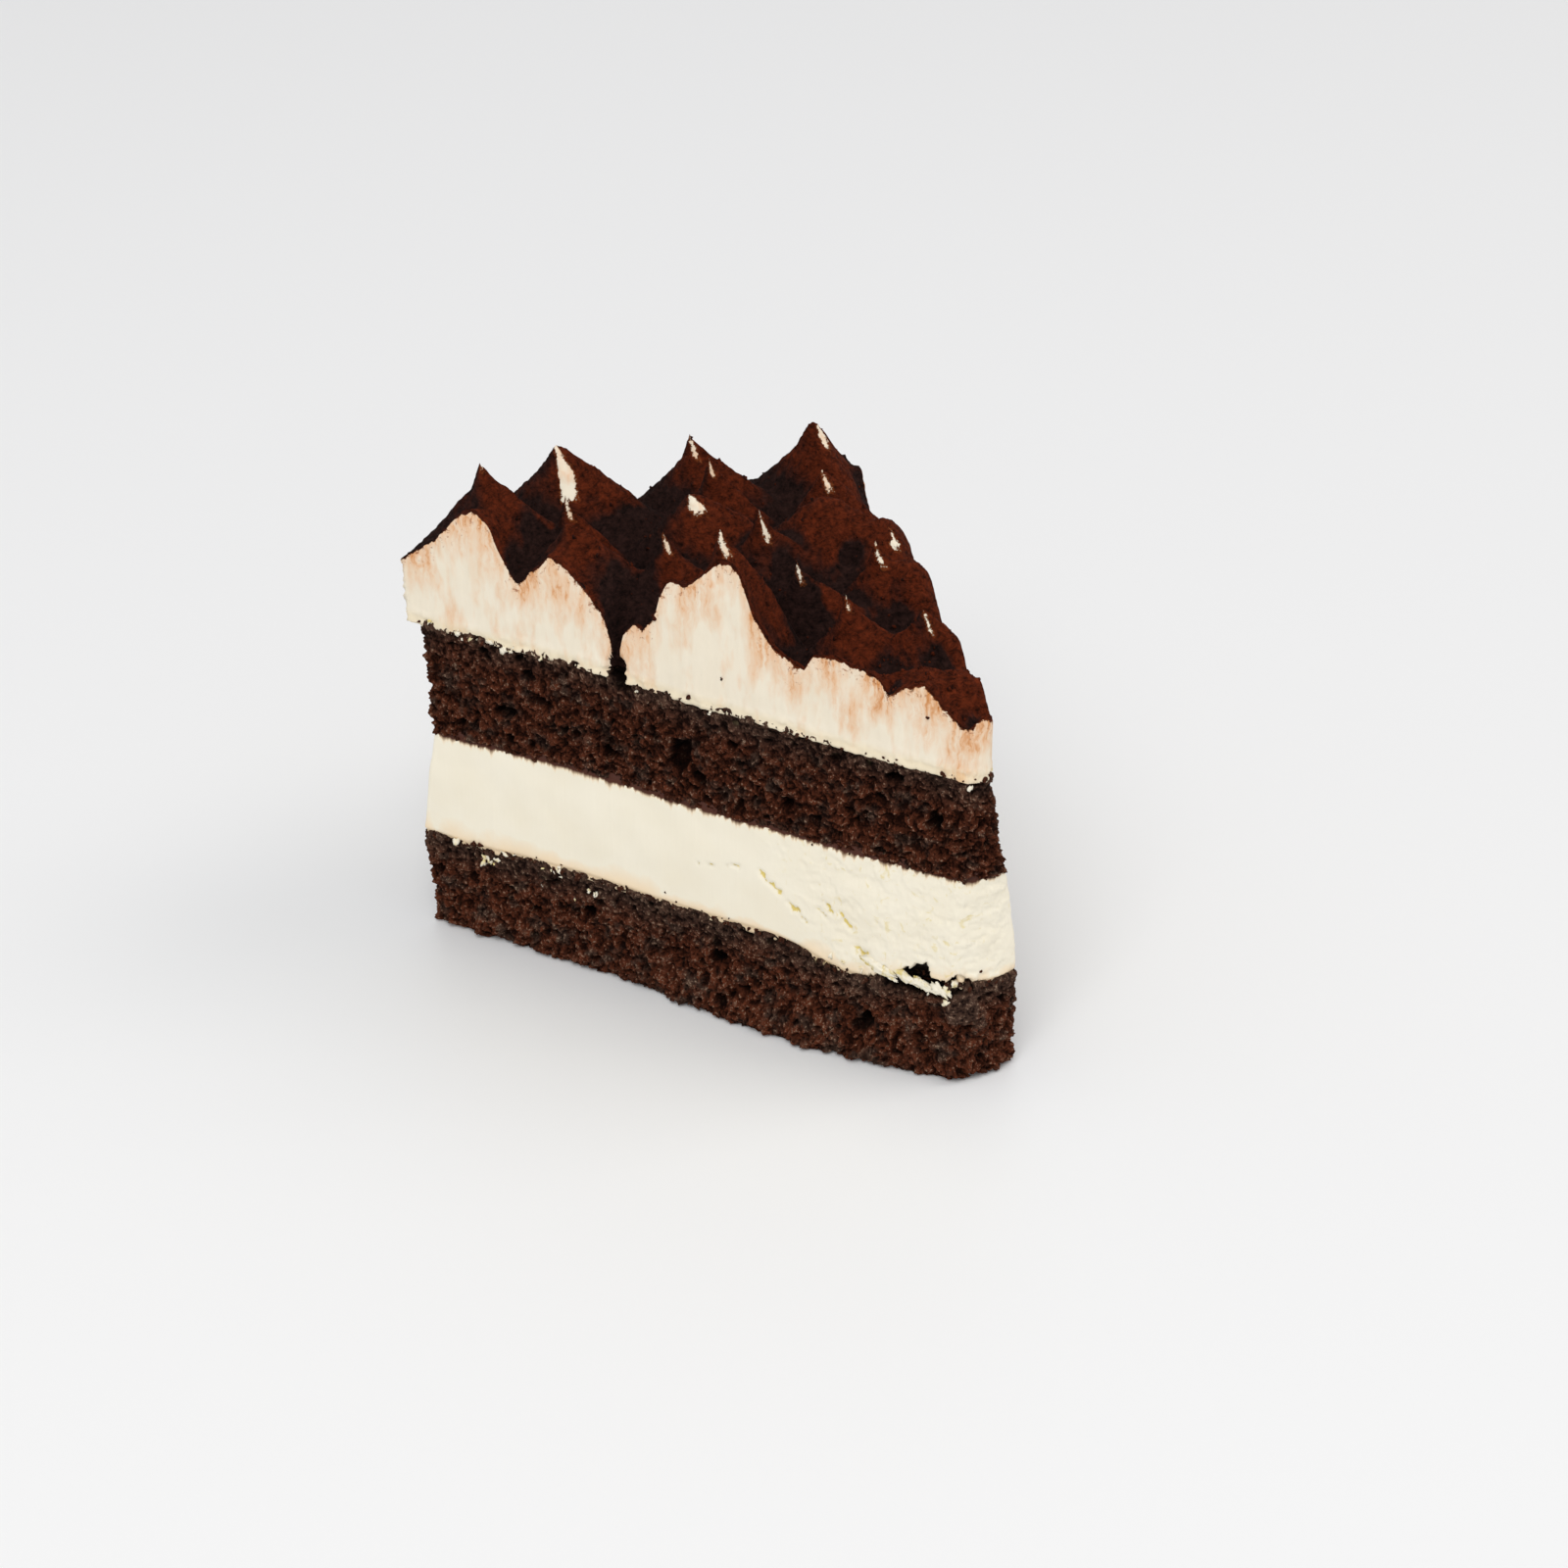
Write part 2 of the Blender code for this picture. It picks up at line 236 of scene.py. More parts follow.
def sponge_layer(name, floor, roof, holes, pressed, lump_height, foot):
    """A sponge layer, with lumps, granules, pores and torn holes in its sides, and a foot that spreads."""
    body = drum(SPONGE_AROUND, SPONGE_ROWS)
    places, share, nearness, level = layer_places(body, floor, roof)
    out = outward_of(share, places[:, 2])
    x, y, z = places.T
    wall = smooth(nearness, SIDE_FROM, 1.0)
    from_roof = roof(x, y) - z
    from_floor = z - floor(x, y)
    stir = np.array([noise.noise_vector(place) for place in (places / STIR_SIZE).tolist()])
    stirred = (places + STIR * stir) * (1.0, 1.0, GRANULE_SQUASH) + SPONGE_SEED
    nearest, following, chance = granules(stirred, GRANULE)
    crevice = 1.0 - smooth(following - nearest, 0.0, 0.3)
    pitted = [pores(stirred + seed, spacing, often, radius) for seed, spacing, often, radius, _ in PORES]
    hole = np.zeros_like(x)
    for hole_x, hole_z, width, height in holes:
        away = np.hypot((x - hole_x) / width, (z - hole_z) / height) + 0.22 * stir[:, 0]
        hole = np.maximum(hole, (1.0 - smooth(away, 0.32, 0.55)) * (1.0 - smooth(y, 1.0, 3.0)))
    slow = unevenness(places + 50.0, 6.0, 2)
    lumps = unevenness(places + 60.0, 2.6, 2)
    fine = unevenness(stirred, 1.2, 4)
    # Syrup from above soaked the top few millimetres, and cream from above lodged in the pores there.
    soak = 1.0 - smooth(from_roof + 2.0 * slow, 1.0, 8.0)
    lodged = smooth(unevenness(places + 90.0, 8.0, 2), 0.0, 0.2) * (1.0 - smooth(from_roof, 1.2, 3.4))
    filled = lodged * smooth(np.maximum(*pitted[1:]), 0.25, 0.6)
    depths = [pore[-1] * pit for pore, pit in zip(PORES, pitted)]
    sunk = np.maximum.reduce([CREVICE_DEPTH * crevice, HOLE_DEPTH * hole, *depths])
    relief = SWELL * slow + lump_height * (1.0 - 0.4 * soak) * lumps
    relief = relief + GRANULE_RISE * (0.5 - nearest) + (FINE_RISE - FINE_SOAKED * soak) * fine
    for flat_x, flat_y, flat_z, radius in pressed:
        away = np.sqrt((x - flat_x) ** 2 + (y - flat_y) ** 2 + (z - flat_z) ** 2) / radius + 0.15 * stir[:, 1]
        flat = 1.0 - smooth(away, 0.75, 1.0)
        relief = relief * (1.0 - 0.75 * flat) + 0.4 * flat
        sunk = sunk * (1.0 - flat)
        soak = np.maximum(soak, flat)
    relief = relief * (1.0 - 0.8 * hole)
    relief = relief - sunk * (1.0 - 0.75 * filled) * (1.0 - 0.35 * soak)
    relief = relief - ROOF_SET_BACK * (1.0 - smooth(from_roof, 0.0, 0.8))
    relief = relief - FLOOR_SET_BACK * (1.0 - smooth(from_floor, 0.0, 0.6))
    if foot:
        scallops = np.abs(unevenness(places + 120.0, 7.0, 2))
        relief = relief + FOOT_SCALLOP * scallops * (1.0 - smooth(from_floor, 1.0, 5.0))
    places = places + out * (relief * wall)[:, None]
    ragged = 0.7 * unevenness(places + 20.0, 2.4, 3) + 0.3 * unevenness(places + 25.0, 0.8, 2)
    hem = 0.4 * ragged + 0.35 if foot else 0.3 * ragged
    places[:, 2] += wall * ragged * 0.9 * (1.0 - smooth(from_roof, 0.0, 3.0))
    places[:, 2] += wall * hem * (1.0 - smooth(from_floor, 0.0, 2.5))
    if foot:
        middle = np.exp(-(((x - FOOT_MIDDLE) / FOOT_REACH) ** 2))
        low = 1.0 - smooth(z, 0.0, FOOT_HEIGHT)
        places[:, 1] -= FOOT_SPREAD * middle * low * (1.0 - smooth(y, 0.0, FOOT_DEPTH))
        places[:, 2] = np.maximum(places[:, 2], 0.0)
    # How far a point stands out: the material paints raised crumbs lighter and redder, as painted light.
    proud = 0.5 + 0.1 * foot + 0.3 * lumps + 0.7 * fine + 0.3 * (0.45 - nearest) - 0.15 * crevice
    # hollow is how deep a point lies in a pore, crevice or torn hole, where the material paints shade.
    marks = {
        "hollow": np.clip(sunk / 0.9, 0.0, 1.0) * (1.0 - filled),
        "grain": chance,
        "proud": np.clip(proud, 0.0, 1.0),
        "soak": soak,
        "lodged": filled,
    }
    return piece_of(name, body, places, marks)


def linear(code):
    """A colour from its sRGB hex code, in linear light."""
    shares = [int(code[place : place + 2], 16) / 255.0 for place in (1, 3, 5)]
    return tuple(s / 12.92 if s <= 0.04045 else ((s + 0.055) / 1.055) ** 2.4 for s in shares) + (1.0,)


def add_node(tree, kind, inputs, **settings):
    """Adds a shader node with its settings, and with its inputs set to values or linked from other nodes."""
    node = tree.nodes.new("ShaderNode" + kind)
    for setting, value in settings.items():
        setattr(node, setting, value)
    for socket, value in inputs.items():
        if isinstance(value, bpy.types.Node):
            value = next(output for output in value.outputs if output.enabled)
        if isinstance(value, bpy.types.NodeSocket):
            tree.links.new(value, node.inputs[socket])
        else:
            node.inputs[socket].default_value = value
    return node


def soaked_sponge():
    """Soaked cocoa sponge, knife-cut: matt and granular, reddish on some crumbs, with painted light on its
    raised crumbs and painted shade that makes its pores nearly black.
    """
    material = bpy.data.materials.new("soaked_cocoa_sponge_cut")
    material.use_nodes = True
    tree = material.node_tree
    shader = tree.nodes["Principled BSDF"]
    shader.inputs["Roughness"].default_value = 0.8
    shader.inputs["Specular IOR Level"].default_value = 0.05
    where = add_node(tree, "TexCoord", {}).outputs["Object"]
    hollow, grain, proud, soak, lodged = (
        add_node(tree, "Attribute", {}, attribute_name=mark).outputs["Fac"]
        for mark in ("hollow", "grain", "proud", "soak", "lodged")
    )
    # Crumb of 0.5 mm shows as single grains; finer flour-size crumb is drawn at 0.25 mm, as coarse as it
    # shows. Syrup leaves cold dark patches of 3 mm. Crumbs vary in tone at random, and raised crumbs are
    # painted lighter and redder as painted light, a few of them pale as painted highlights.
    crumb = add_node(tree, "TexNoise", {"Vector": where, "Scale": 2200.0, "Detail": 3.0, "Roughness": 0.7})
    patch = add_node(tree, "TexNoise", {"Vector": where, "Scale": 420.0, "Detail": 3.0})
    wet = add_node(tree, "TexNoise", {"Vector": where, "Scale": 260.0, "Detail": 4.0, "Roughness": 0.6})
    dryness_and_light = add_node(tree, "Math", {0: crumb, 1: 1.7, 2: -0.35}, operation="MULTIPLY_ADD")
    dryness_and_light = add_node(tree, "Math", {0: grain, 1: 0.2, 2: dryness_and_light}, operation="MULTIPLY_ADD")
    dryness_and_light = add_node(tree, "Math", {0: patch, 1: 0.5, 2: dryness_and_light}, operation="MULTIPLY_ADD")
    # Painted light: the more a crumb stands out, the lighter and redder it is painted.
    dryness_and_light = add_node(tree, "Math", {0: proud, 1: 1.0, 2: dryness_and_light}, operation="MULTIPLY_ADD")
    dryness_and_light = add_node(tree, "MapRange", {"Value": dryness_and_light, "From Min": 0.95, "From Max": 1.72})
    dry_and_lit = add_node(tree, "Mix", {0: dryness_and_light, 6: linear("#220d06"), 7: linear("#6a3825")}, data_type="RGBA")
    grey = add_node(tree, "Mix", {0: dryness_and_light, 6: linear("#1a0f0c"), 7: linear("#54443a")}, data_type="RGBA")
    soaked = add_node(tree, "MapRange", {"Value": wet, "From Min": 0.5, "From Max": 0.62})
    soaked = add_node(tree, "Math", {0: soak, 1: soaked}, operation="MAXIMUM")
    soaked = add_node(tree, "Math", {0: soaked, 1: 0.8}, operation="MULTIPLY")
    colour = add_node(tree, "Mix", {0: soaked, 6: dry_and_lit, 7: grey}, data_type="RGBA")
    # Painted highlight: a pale fleck on a few of the most raised crumbs.
    crumb_glint = add_node(tree, "Math", {0: crumb, 1: dryness_and_light}, operation="MULTIPLY")
    crumb_glint = add_node(tree, "MapRange", {"Value": crumb_glint, "From Min": 0.54, "From Max": 0.64, "To Max": 0.6})
    colour = add_node(tree, "Mix", {0: crumb_glint, 6: colour, 7: linear("#b39880")}, data_type="RGBA")
    # Painted shade: pores, crevices and torn holes are painted nearly black.
    deep = add_node(tree, "Math", {0: hollow, 1: 0.9}, operation="MULTIPLY")
    colour = add_node(tree, "Mix", {0: deep, 6: colour, 7: linear("#070302")}, data_type="RGBA")
    colour = add_node(tree, "Mix", {0: lodged, 6: colour, 7: linear("#dcc596")}, data_type="RGBA")
    tree.links.new(colour.outputs[2], shader.inputs["Base Color"])
    bump = add_node(tree, "Bump", {"Strength": 1.0, "Distance": 0.0006, "Height": crumb})
    tree.links.new(bump.outputs[0], shader.inputs["Normal"])
    return material


def level_base(x, y):
    return np.zeros_like(x)


def lower_joint(x, y):
    return joint(LOWER_JOINT, x, y)


sponge = soaked_sponge()
LUMP_HEIGHT = 0.8
# Distance toward the rim, height, width and height of each torn hole in the front cut
LOWER_HOLES = (
    (88.0, 12.0, 3.0, 2.4),
    (62.0, 10.5, 2.6, 3.2),
    (33.0, 7.0, 2.4, 3.4),
    (99.0, 9.0, 2.4, 2.0),
    (25.5, 17.2, 19.0, 3.6),
)
PRESSED = ((15.5, 1.0, 14.0, 3.6),)  # place and radius, where the knife pressed the crumb smooth
lower_sponge = sponge_layer(
    "lower_sponge_crumb", level_base, lower_joint, LOWER_HOLES, PRESSED, LUMP_HEIGHT, foot=True
)
lower_sponge.data.materials.append(sponge)
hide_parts("lower_sponge")
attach(lower_sponge, "root")

# ------------------------------------------------------------------------------------------------------------
# Cream filling. Whipped mascarpone cream, spread on the lower sponge and chilled firm. The knife left it
# smooth near the rim, dragged a little sponge down from above, and tore it into flakes near the tip.

MIDDLE_JOINT = (39.0, 40.2, 0.4, 0.0)
FILLING_AROUND = 900
FILLING_ROWS = 60
TUCK = 1.3  # the cream reaches this far behind the ragged edges of the sponge
SET_BACK = 0.5  # and lies this far back at its own edges
TORN_TO = (36.0, 56.0)  # the front cut is torn nearer the tip than the first, and smooth beyond the second
TORN_SLANT = 0.5
TORN_SLANT_HEIGHT = 28.0
CHIP_DEPTH = 0.15
CRUMBLE = 0.08
BUTTER_DEPTH = 0.5
# Where each crack with buttery curd in it starts, where it ends, and its half width
BUTTER = (
    (54.0, 30.5, 49.5, 27.0, 0.45), (48.5, 26.0, 44.5, 23.0, 0.3), (41.5, 28.5, 39.0, 26.0, 0.25),
    (39.0, 27.0, 36.0, 24.0, 0.35), (42.5, 26.5, 41.0, 25.0, 0.25), (35.8, 21.2, 33.0, 19.6, 0.6),
    (61.0, 29.5, 57.5, 30.4, 0.2), (66.0, 28.8, 62.5, 29.2, 0.15),
)
GAP_MIDDLE = 24.0  # the cream tore off the lower sponge here, and left a gap
GAP_REACH = 9.0
GAP_HEIGHT = 1.1
GAP_DEPTH = 2.6


def middle_joint(x, y):
    return joint(MIDDLE_JOINT, x, y)


def filling_floor(x, y):
    return lower_joint(x, y) - TUCK


def filling_roof(x, y):
    return middle_joint(x, y) + TUCK


def chilled_cream():
    """Chilled mascarpone cream, cut with a knife: satin ivory white, with buttery flecks where it tore."""
    material = bpy.data.materials.new("chilled_mascarpone_cream_cut")
    material.use_nodes = True
    tree = material.node_tree
    shader = tree.nodes["Principled BSDF"]
    shader.inputs["Roughness"].default_value = 0.5
    shader.inputs["Specular IOR Level"].default_value = 0.3
    where = add_node(tree, "TexCoord", {}).outputs["Object"]
    above, below, torn, butter, gap = (
        add_node(tree, "Attribute", {}, attribute_name=mark).outputs["Fac"]
        for mark in ("above", "below", "torn", "butter", "gap")
    )
    # Strokes of the knife run down the cut: about 0.5 mm wide and 15 mm long.
    strokes = add_node(tree, "Mapping", {"Vector": where, "Scale": (1.0, 1.0, 0.045)})
    stroke = add_node(tree, "TexNoise", {"Vector": strokes, "Scale": 900.0, "Detail": 3.0})
    cloud = add_node(tree, "TexNoise", {"Vector": where, "Scale": 120.0, "Detail": 4.0})
    fleck = add_node(tree, "TexNoise", {"Vector": where, "Scale": 420.0, "Detail": 5.0, "Distortion": 1.5})
    colour = add_node(tree, "Mix", {0: cloud, 6: linear("#f0e7d0"), 7: linear("#f7f1e0")}, data_type="RGBA")
    streaky = add_node(
        tree, "MapRange", {"Value": fleck, "From Min": 0.6, "From Max": 0.72, "To Max": 0.45}
    )
    streaky = add_node(tree, "Math", {0: streaky, 1: torn}, operation="MULTIPLY")
    curd = add_node(tree, "Math", {0: fleck, 1: 1.6, 2: butter}, operation="MULTIPLY_ADD")
    curd = add_node(tree, "MapRange", {"Value": curd, "From Min": 1.3, "From Max": 1.6, "To Max": 0.85})
    curd = add_node(tree, "Math", {0: curd, 1: streaky}, operation="MAXIMUM")
    colour = add_node(tree, "Mix", {0: curd, 6: colour, 7: linear("#dcc45c")}, data_type="RGBA")
    # Cocoa syrup dragged from the sponge above reaches 0.2 to 2.4 mm down in strokes, and fades as it goes;
    # nearest the sponge it is painted as dark as the sponge, partly syrup and partly painted shade.
    # The cream also drew a pale tint from the sponge below, up to 4.5 mm high.
    reach = add_node(
        tree,
        "MapRange",
        {"Value": stroke, "From Min": 0.35, "From Max": 0.75, "To Min": 0.15, "To Max": 2.4},
    )
    stain = add_node(tree, "MapRange", {"Value": below, "From Max": reach, "To Min": 1.0, "To Max": 0.0})
    soft = add_node(tree, "Math", {0: stain, 1: 0.7}, operation="MULTIPLY")
    colour = add_node(tree, "Mix", {0: soft, 6: colour, 7: linear("#eebd78")}, data_type="RGBA")
    # Painted shade: right under the upper sponge the stain is as dark as the sponge, partly syrup, partly
    # shade.
    syrup_and_shade = add_node(tree, "MapRange", {"Value": stain, "From Min": 0.35, "From Max": 0.85})
    colour = add_node(tree, "Mix", {0: syrup_and_shade, 6: colour, 7: linear("#4a2212")}, data_type="RGBA")
    reach = add_node(
        tree, "MapRange", {"Value": cloud, "From Min": 0.4, "From Max": 0.62, "To Min": 0.8, "To Max": 4.5}
    )
    tint = add_node(tree, "MapRange", {"Value": above, "From Max": reach, "To Min": 0.6, "To Max": 0.0})
    colour = add_node(tree, "Mix", {0: tint, 6: colour, 7: linear("#f0c992")}, data_type="RGBA")
    # Where the cream tore off the sponge below, the hollow is painted near black: dark crumb that stayed
    # behind, and painted shade of the deep gap.
    bared = add_node(tree, "MapRange", {"Value": gap, "From Min": 0.4, "From Max": 0.6})
    colour = add_node(tree, "Mix", {0: bared, 6: colour, 7: linear("#140905")}, data_type="RGBA")
    tree.links.new(colour.outputs[2], shader.inputs["Base Color"])
    flaky = add_node(tree, "Math", {0: torn, 1: 0.6}, operation="MULTIPLY")
    relief = add_node(tree, "Math", {0: fleck, 1: flaky, 2: stroke}, operation="MULTIPLY_ADD")
    bump = add_node(tree, "Bump", {"Strength": 0.25, "Distance": 0.0003, "Height": relief})
    tree.links.new(bump.outputs[0], shader.inputs["Normal"])
    return material


body = drum(FILLING_AROUND, FILLING_ROWS)
places, share, nearness, level = layer_places(body, filling_floor, filling_roof)
x, y, z = places.T
out = outward_of(share, z)
wall = smooth(nearness, SIDE_FROM, 1.0)
above = z - lower_joint(x, y)
below = middle_joint(x, y) - z
torn = 1.0 - smooth(x - TORN_SLANT * (z - TORN_SLANT_HEIGHT), *TORN_TO)
torn = torn * (1.0 - smooth(y, 4.0, 14.0))
torn = np.maximum(torn, 0.6 * smooth(unevenness(places + 70.0, 22.0, 2), 0.0, 0.35) * smooth(y, 8.0, 16.0))
chips = smooth(unevenness(places * (1.0, 1.0, 1.4), 5.5, 4), 0.02, 0.09)
chips = chips + smooth(unevenness(places * (1.0, 1.0, 1.8) + 44.0, 3.0, 3), 0.12, 0.2)
crumbly = unevenness(places, 1.3, 3)
butter = np.zeros_like(x)
for from_x, from_z, to_x, to_z, width in BUTTER:
    length = math.hypot(to_x - from_x, to_z - from_z)
    along = ((x - from_x) * (to_x - from_x) + (z - from_z) * (to_z - from_z)) / length
    aside = ((z - from_z) * (to_x - from_x) - (x - from_x) * (to_z - from_z)) / length + 0.8 * crumbly
    within = smooth(along, -0.5, 0.5) * (1.0 - smooth(along, length - 0.5, length + 0.5))
    streak = within * np.exp(-((aside / width) ** 2))
    butter = np.maximum(butter, streak * (1.0 - smooth(y, 1.0, 2.0)))
hanging = unevenness(places * (1.0, 1.0, 0.3) + 40.0, 3.0, 3)
gap = smooth(GAP_HEIGHT + 2.4 * hanging - above, -0.2, 0.2) * (1.0 - smooth(y, 3.0, 7.0))
gap = gap * (1.0 - smooth(np.abs(x - GAP_MIDDLE) + 2.5 * hanging, 0.85 * GAP_REACH, 1.1 * GAP_REACH))
relief = 0.25 * unevenness(places + 10.0, 9.0, 2) + torn * (CRUMBLE * crumbly - CHIP_DEPTH * chips)
relief = relief - BUTTER_DEPTH * butter - GAP_DEPTH * gap
relief = relief - SET_BACK * (2.0 - smooth(above, -0.3, 0.5) - smooth(below, -0.3, 0.4))
places = places + out * (relief * wall)[:, None]
marks = {"above": above, "below": below, "torn": torn, "butter": butter, "gap": gap}
filling = piece_of("cream_filling_cut", body, places, marks)
filling.data.materials.append(chilled_cream())
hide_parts("cream_filling")
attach(filling, "root")

# ------------------------------------------------------------------------------------------------------------
# Upper sponge. The second half of the split sponge, laid on the filling and soaked from above, so its top is
# greyer and closer. It has one large hole and a few smaller ones, and cream from above is in its pores.

UPPER_JOINT = (58.9, 62.4, 0.4, 0.0)
# Distance toward the rim, height, width and height of each torn hole in the front cut
UPPER_HOLES = (
    (68.7, 49.0, 4.4, 7.0),
    (82.8, 45.5, 2.8, 2.6),
    (103.5, 47.8, 5.0, 2.4),
    (21.4, 49.3, 2.8, 4.0),
    (28.8, 55.7, 3.6, 2.0),
    (48.5, 45.3, 2.2, 2.6),
    (64.8, 44.7, 2.0, 2.6),
    (79.8, 60.8, 4.0, 4.5),
)


def upper_joint(x, y):
    return joint(UPPER_JOINT, x, y)


UPPER_LUMP_HEIGHT = 0.45
upper_sponge = sponge_layer(
    "upper_sponge_crumb", middle_joint, upper_joint, UPPER_HOLES, (), UPPER_LUMP_HEIGHT, foot=False
)
upper_sponge.data.materials.append(sponge)
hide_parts("upper_sponge")
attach(upper_sponge, "root")

# ------------------------------------------------------------------------------------------------------------
# Cream topping. Whipped mascarpone cream, spread thick and pulled up into peaks with the back of a spoon,
# then dusted with cocoa through a sieve. The knife bared the cream at the cuts and smeared cocoa down it.

TOPPING_OVERHANG = 2.5
ACROSS_CELLS = 196
OUTWARD_CELLS = 290
WALL_ROWS = 43
# x, y and z of each peak's tip, slope of its flanks, height of its spike, rounding, lean of the tip away from
# its foot, and length and width of the cream that the spoon left bare
PEAKS = (
    (111, 7, 91, 1.25, 3.0, 0.3, 1.5, 2.0, 0.5),
    (113.0, 5.8, 85.2, 1.3, 0.0, 0.8, 0.0, 0.0, 0.0),
    (108.6, 27.2, 86.2, 1.15, 0.5, 0.6, 1.2, 7.6, 2.9),
    (94.6, 49.2, 82.7, 1.05, 3.0, 0.3, 1.5, 4.4, 0.9),
    (78.7, 67.5, 81.9, 1.0, 0.8, 0.9, 3.0, 4.6, 1.4),
    (76.8, 68.2, 80.3, 1.8, 0.0, 1.2, 0.0, 0.0, 0.0),
    (98, 13, 85, 1.6, 3.0, 0.3, 1.5, 4.0, 0.9),
    (93, 5, 85.4, 1.25, 0.5, 0.5, 0.8, 0.0, 0.0),
    (86, 41, 83, 1.35, 3.0, 0.3, 1.2, 3.2, 0.8),
    (68.5, 50, 81.5, 1.45, 1.5, 0.8, 1.2, 3.6, 1.3),
    (63.4, 41.4, 80.5, 1.1, 0.0, 2.5, 0.0, 0.0, 0.0),
    (83, 29.3, 81.5, 1.15, 0.0, 2.0, 1.5, 2.2, 2.8),
    (79, 13, 83.5, 1.35, 3.0, 0.3, 1.5, 4.6, 1.0),
    (64, 6, 90, 1.75, 3.0, 0.3, 1.5, 4.8, 1.6),
    (70, 30, 82.2, 1.25, 3.0, 0.3, 1.5, 6.0, 1.1),
    (48.4, 31.1, 80.3, 1.25, 3.0, 0.3, 1.2, 4.0, 0.9),
    (51.5, 43.6, 78.2, 1.0, 0.0, 5.0, 0.0, 0.0, 0.0),
    (50.0, 40.9, 76.9, 1.6, 0.0, 1.0, 0.0, 1.8, 1.8),
    (41, 33.5, 78.3, 1.0, 0.0, 3.5, 0.0, 0.0, 0.0),
    (56.9, 19.3, 81.3, 1.25, 3.0, 0.3, 1.5, 5.4, 1.6),
    (44, 12, 79.8, 1.05, 3.0, 0.3, 1.2, 2.4, 0.5),
    (32, 16, 79, 1.05, 1.5, 0.6, 0.8, 4.6, 0.7),
    (27, 5, 73.8, 0.9, 0.0, 2.5, 0.0, 0.0, 0.0),
    (21.4, 7, 73.5, 1.0, 0.0, 4.0, 0.0, 0.0, 0.0),
)
SPIKE_WIDTH = 1.2
PINCH = 1.2  # how far round a tip the cells are drawn together
CREST_POWER = 1.45  # 2 makes round peaks, and less makes crests along the pull and across it
PULL = (-0.88, 0.476)  # the way that the spoon pulled the peaks
FORWARD = (0.29, -0.96)  # the side of a peak that the spoon left bare
TRAIL = 1.4  # how far a peak is drawn out along the pull and against it
UNDERCUT = 1.1
LEAN_REACH = 1.75  # how far from its tip a peak leans, in times its lean
VALLEY_OVER_JOINT = 3.0
BLEND = 1.0  # softness of the creases between peaks
BARE_DRIFT = 0.18  # how far bare streaks drift along the pull, for each millimetre down
# x, y, radius and depth of the hollows beside the peaks, where the cocoa is painted dark as shade
PITS = (
    (52.6, 14, 4.5, 4.5), (55, 18, 4.0, 2.0), (28, 13.5, 3.2, 2.8), (41.3, 23.8, 3.4, 1.5),
    (34, 18.5, 2.6, 0.8), (56, 36.7, 1.9, 2.0), (77, 17, 4.0, 1.5), (64.5, 29, 3.8, 2.2), (83, 6, 4.6, 0.5),
    (101.5, 9, 3.0, 1.0), (92, 31, 6.0, 0.5),
)  # fmt: skip
# Distance toward the rim along the front cut, and height of the top of the cream there
FRONT_EDGE = (
    (124, 72.5), (116, 78.5), (111.3, 84), (108.3, 85.6), (104.8, 83.5), (103.5, 79), (100, 73.4), (97, 77),
    (94.9, 78.4), (93.9, 80.6), (91, 79.9), (86.5, 75.8), (82.8, 71.5), (80.7, 61.5), (79.8, 69), (77, 72.2),
    (75.9, 71), (73, 74.3), (72.7, 77.5), (70.3, 81.9), (67.4, 81.2), (61.4, 86.8), (59.4, 87.7), (57, 85.8),
    (54.9, 79.4), (51.1, 74), (45, 71.2), (44.4, 74.2), (40, 75.2), (34, 74), (31.3, 73.1), (30.2, 70.6),
    (27.4, 72.9), (23.6, 74.4), (18, 69.1), (15.8, 68), (13.4, 70.9), (12, 70.9),
)  # fmt: skip
# Distance from the cake's centre along the back cut, and height of the top of the cream there
BACK_EDGE = (
    (116, 68.5), (111, 69), (107, 69.5), (104.5, 71), (102, 72), (99, 69), (96, 67), (92, 65.5), (86, 68),
    (80, 72), (73, 73), (69, 72), (64, 69), (60, 65.5), (52, 66.5), (47, 65), (40, 64), (25, 64.5),
    (12, 65.5),
)  # fmt: skip
FRONT_EDGE_DEPTH = 4.5  # how far behind a cut its edge is felt
BACK_EDGE_DEPTH = 4.0
EDGE_STEPS = (-0.5, 0.0, 0.5)  # an edge's height is the mean of its heights at these steps along it
BACK_EDGE_STEPS = (-1.5, -0.5, 0.5, 1.5)
NOTCH_X = 80.8  # the deepest crease of the front cut ends in a hole, painted dark as shade
NOTCH_HEIGHT = 61.8
NOTCH_DEPTH = 2.5
LIP = 0.35  # the cocoa reaches this far over the edge of a cut
SHADE_AND_DAMP_BELOW = 60.0  # height under which the cocoa is painted dark, as shade and as moist cocoa, at the cake's middle, and its rise to the rim
SHADE_AND_DAMP_SLOPE = 0.12
ROUND_ABOUT = (2.5, 5.0, 9.0)  # distances at which a crease is told from a crest
INSIDE_CUT = 8.0  # counts as this far down a cut, so that no smear reaches the cream that the spoon bared


def peak_surface(x, y, peak):
    """Height of one pulled peak over a point, falling away in crests from its tip."""
    tip_x, tip_y, tip_z, slope, spike_height, rounding, lean = peak[:7]
    foot_x = x - tip_x - lean * PULL[0]
    foot_y = y - tip_y - lean * PULL[1]
    along = foot_x * PULL[0] + foot_y * PULL[1]
    aside = np.abs(foot_x * PULL[1] - foot_y * PULL[0])
    along = np.where(along > 0.0, along / TRAIL, -along / UNDERCUT)
    away = (along**CREST_POWER + aside**CREST_POWER) ** (1.0 / CREST_POWER)
    spike = spike_height * (1.0 - np.exp(-away / SPIKE_WIDTH))
    return tip_z - spike - slope * (np.hypot(away, rounding) - rounding)


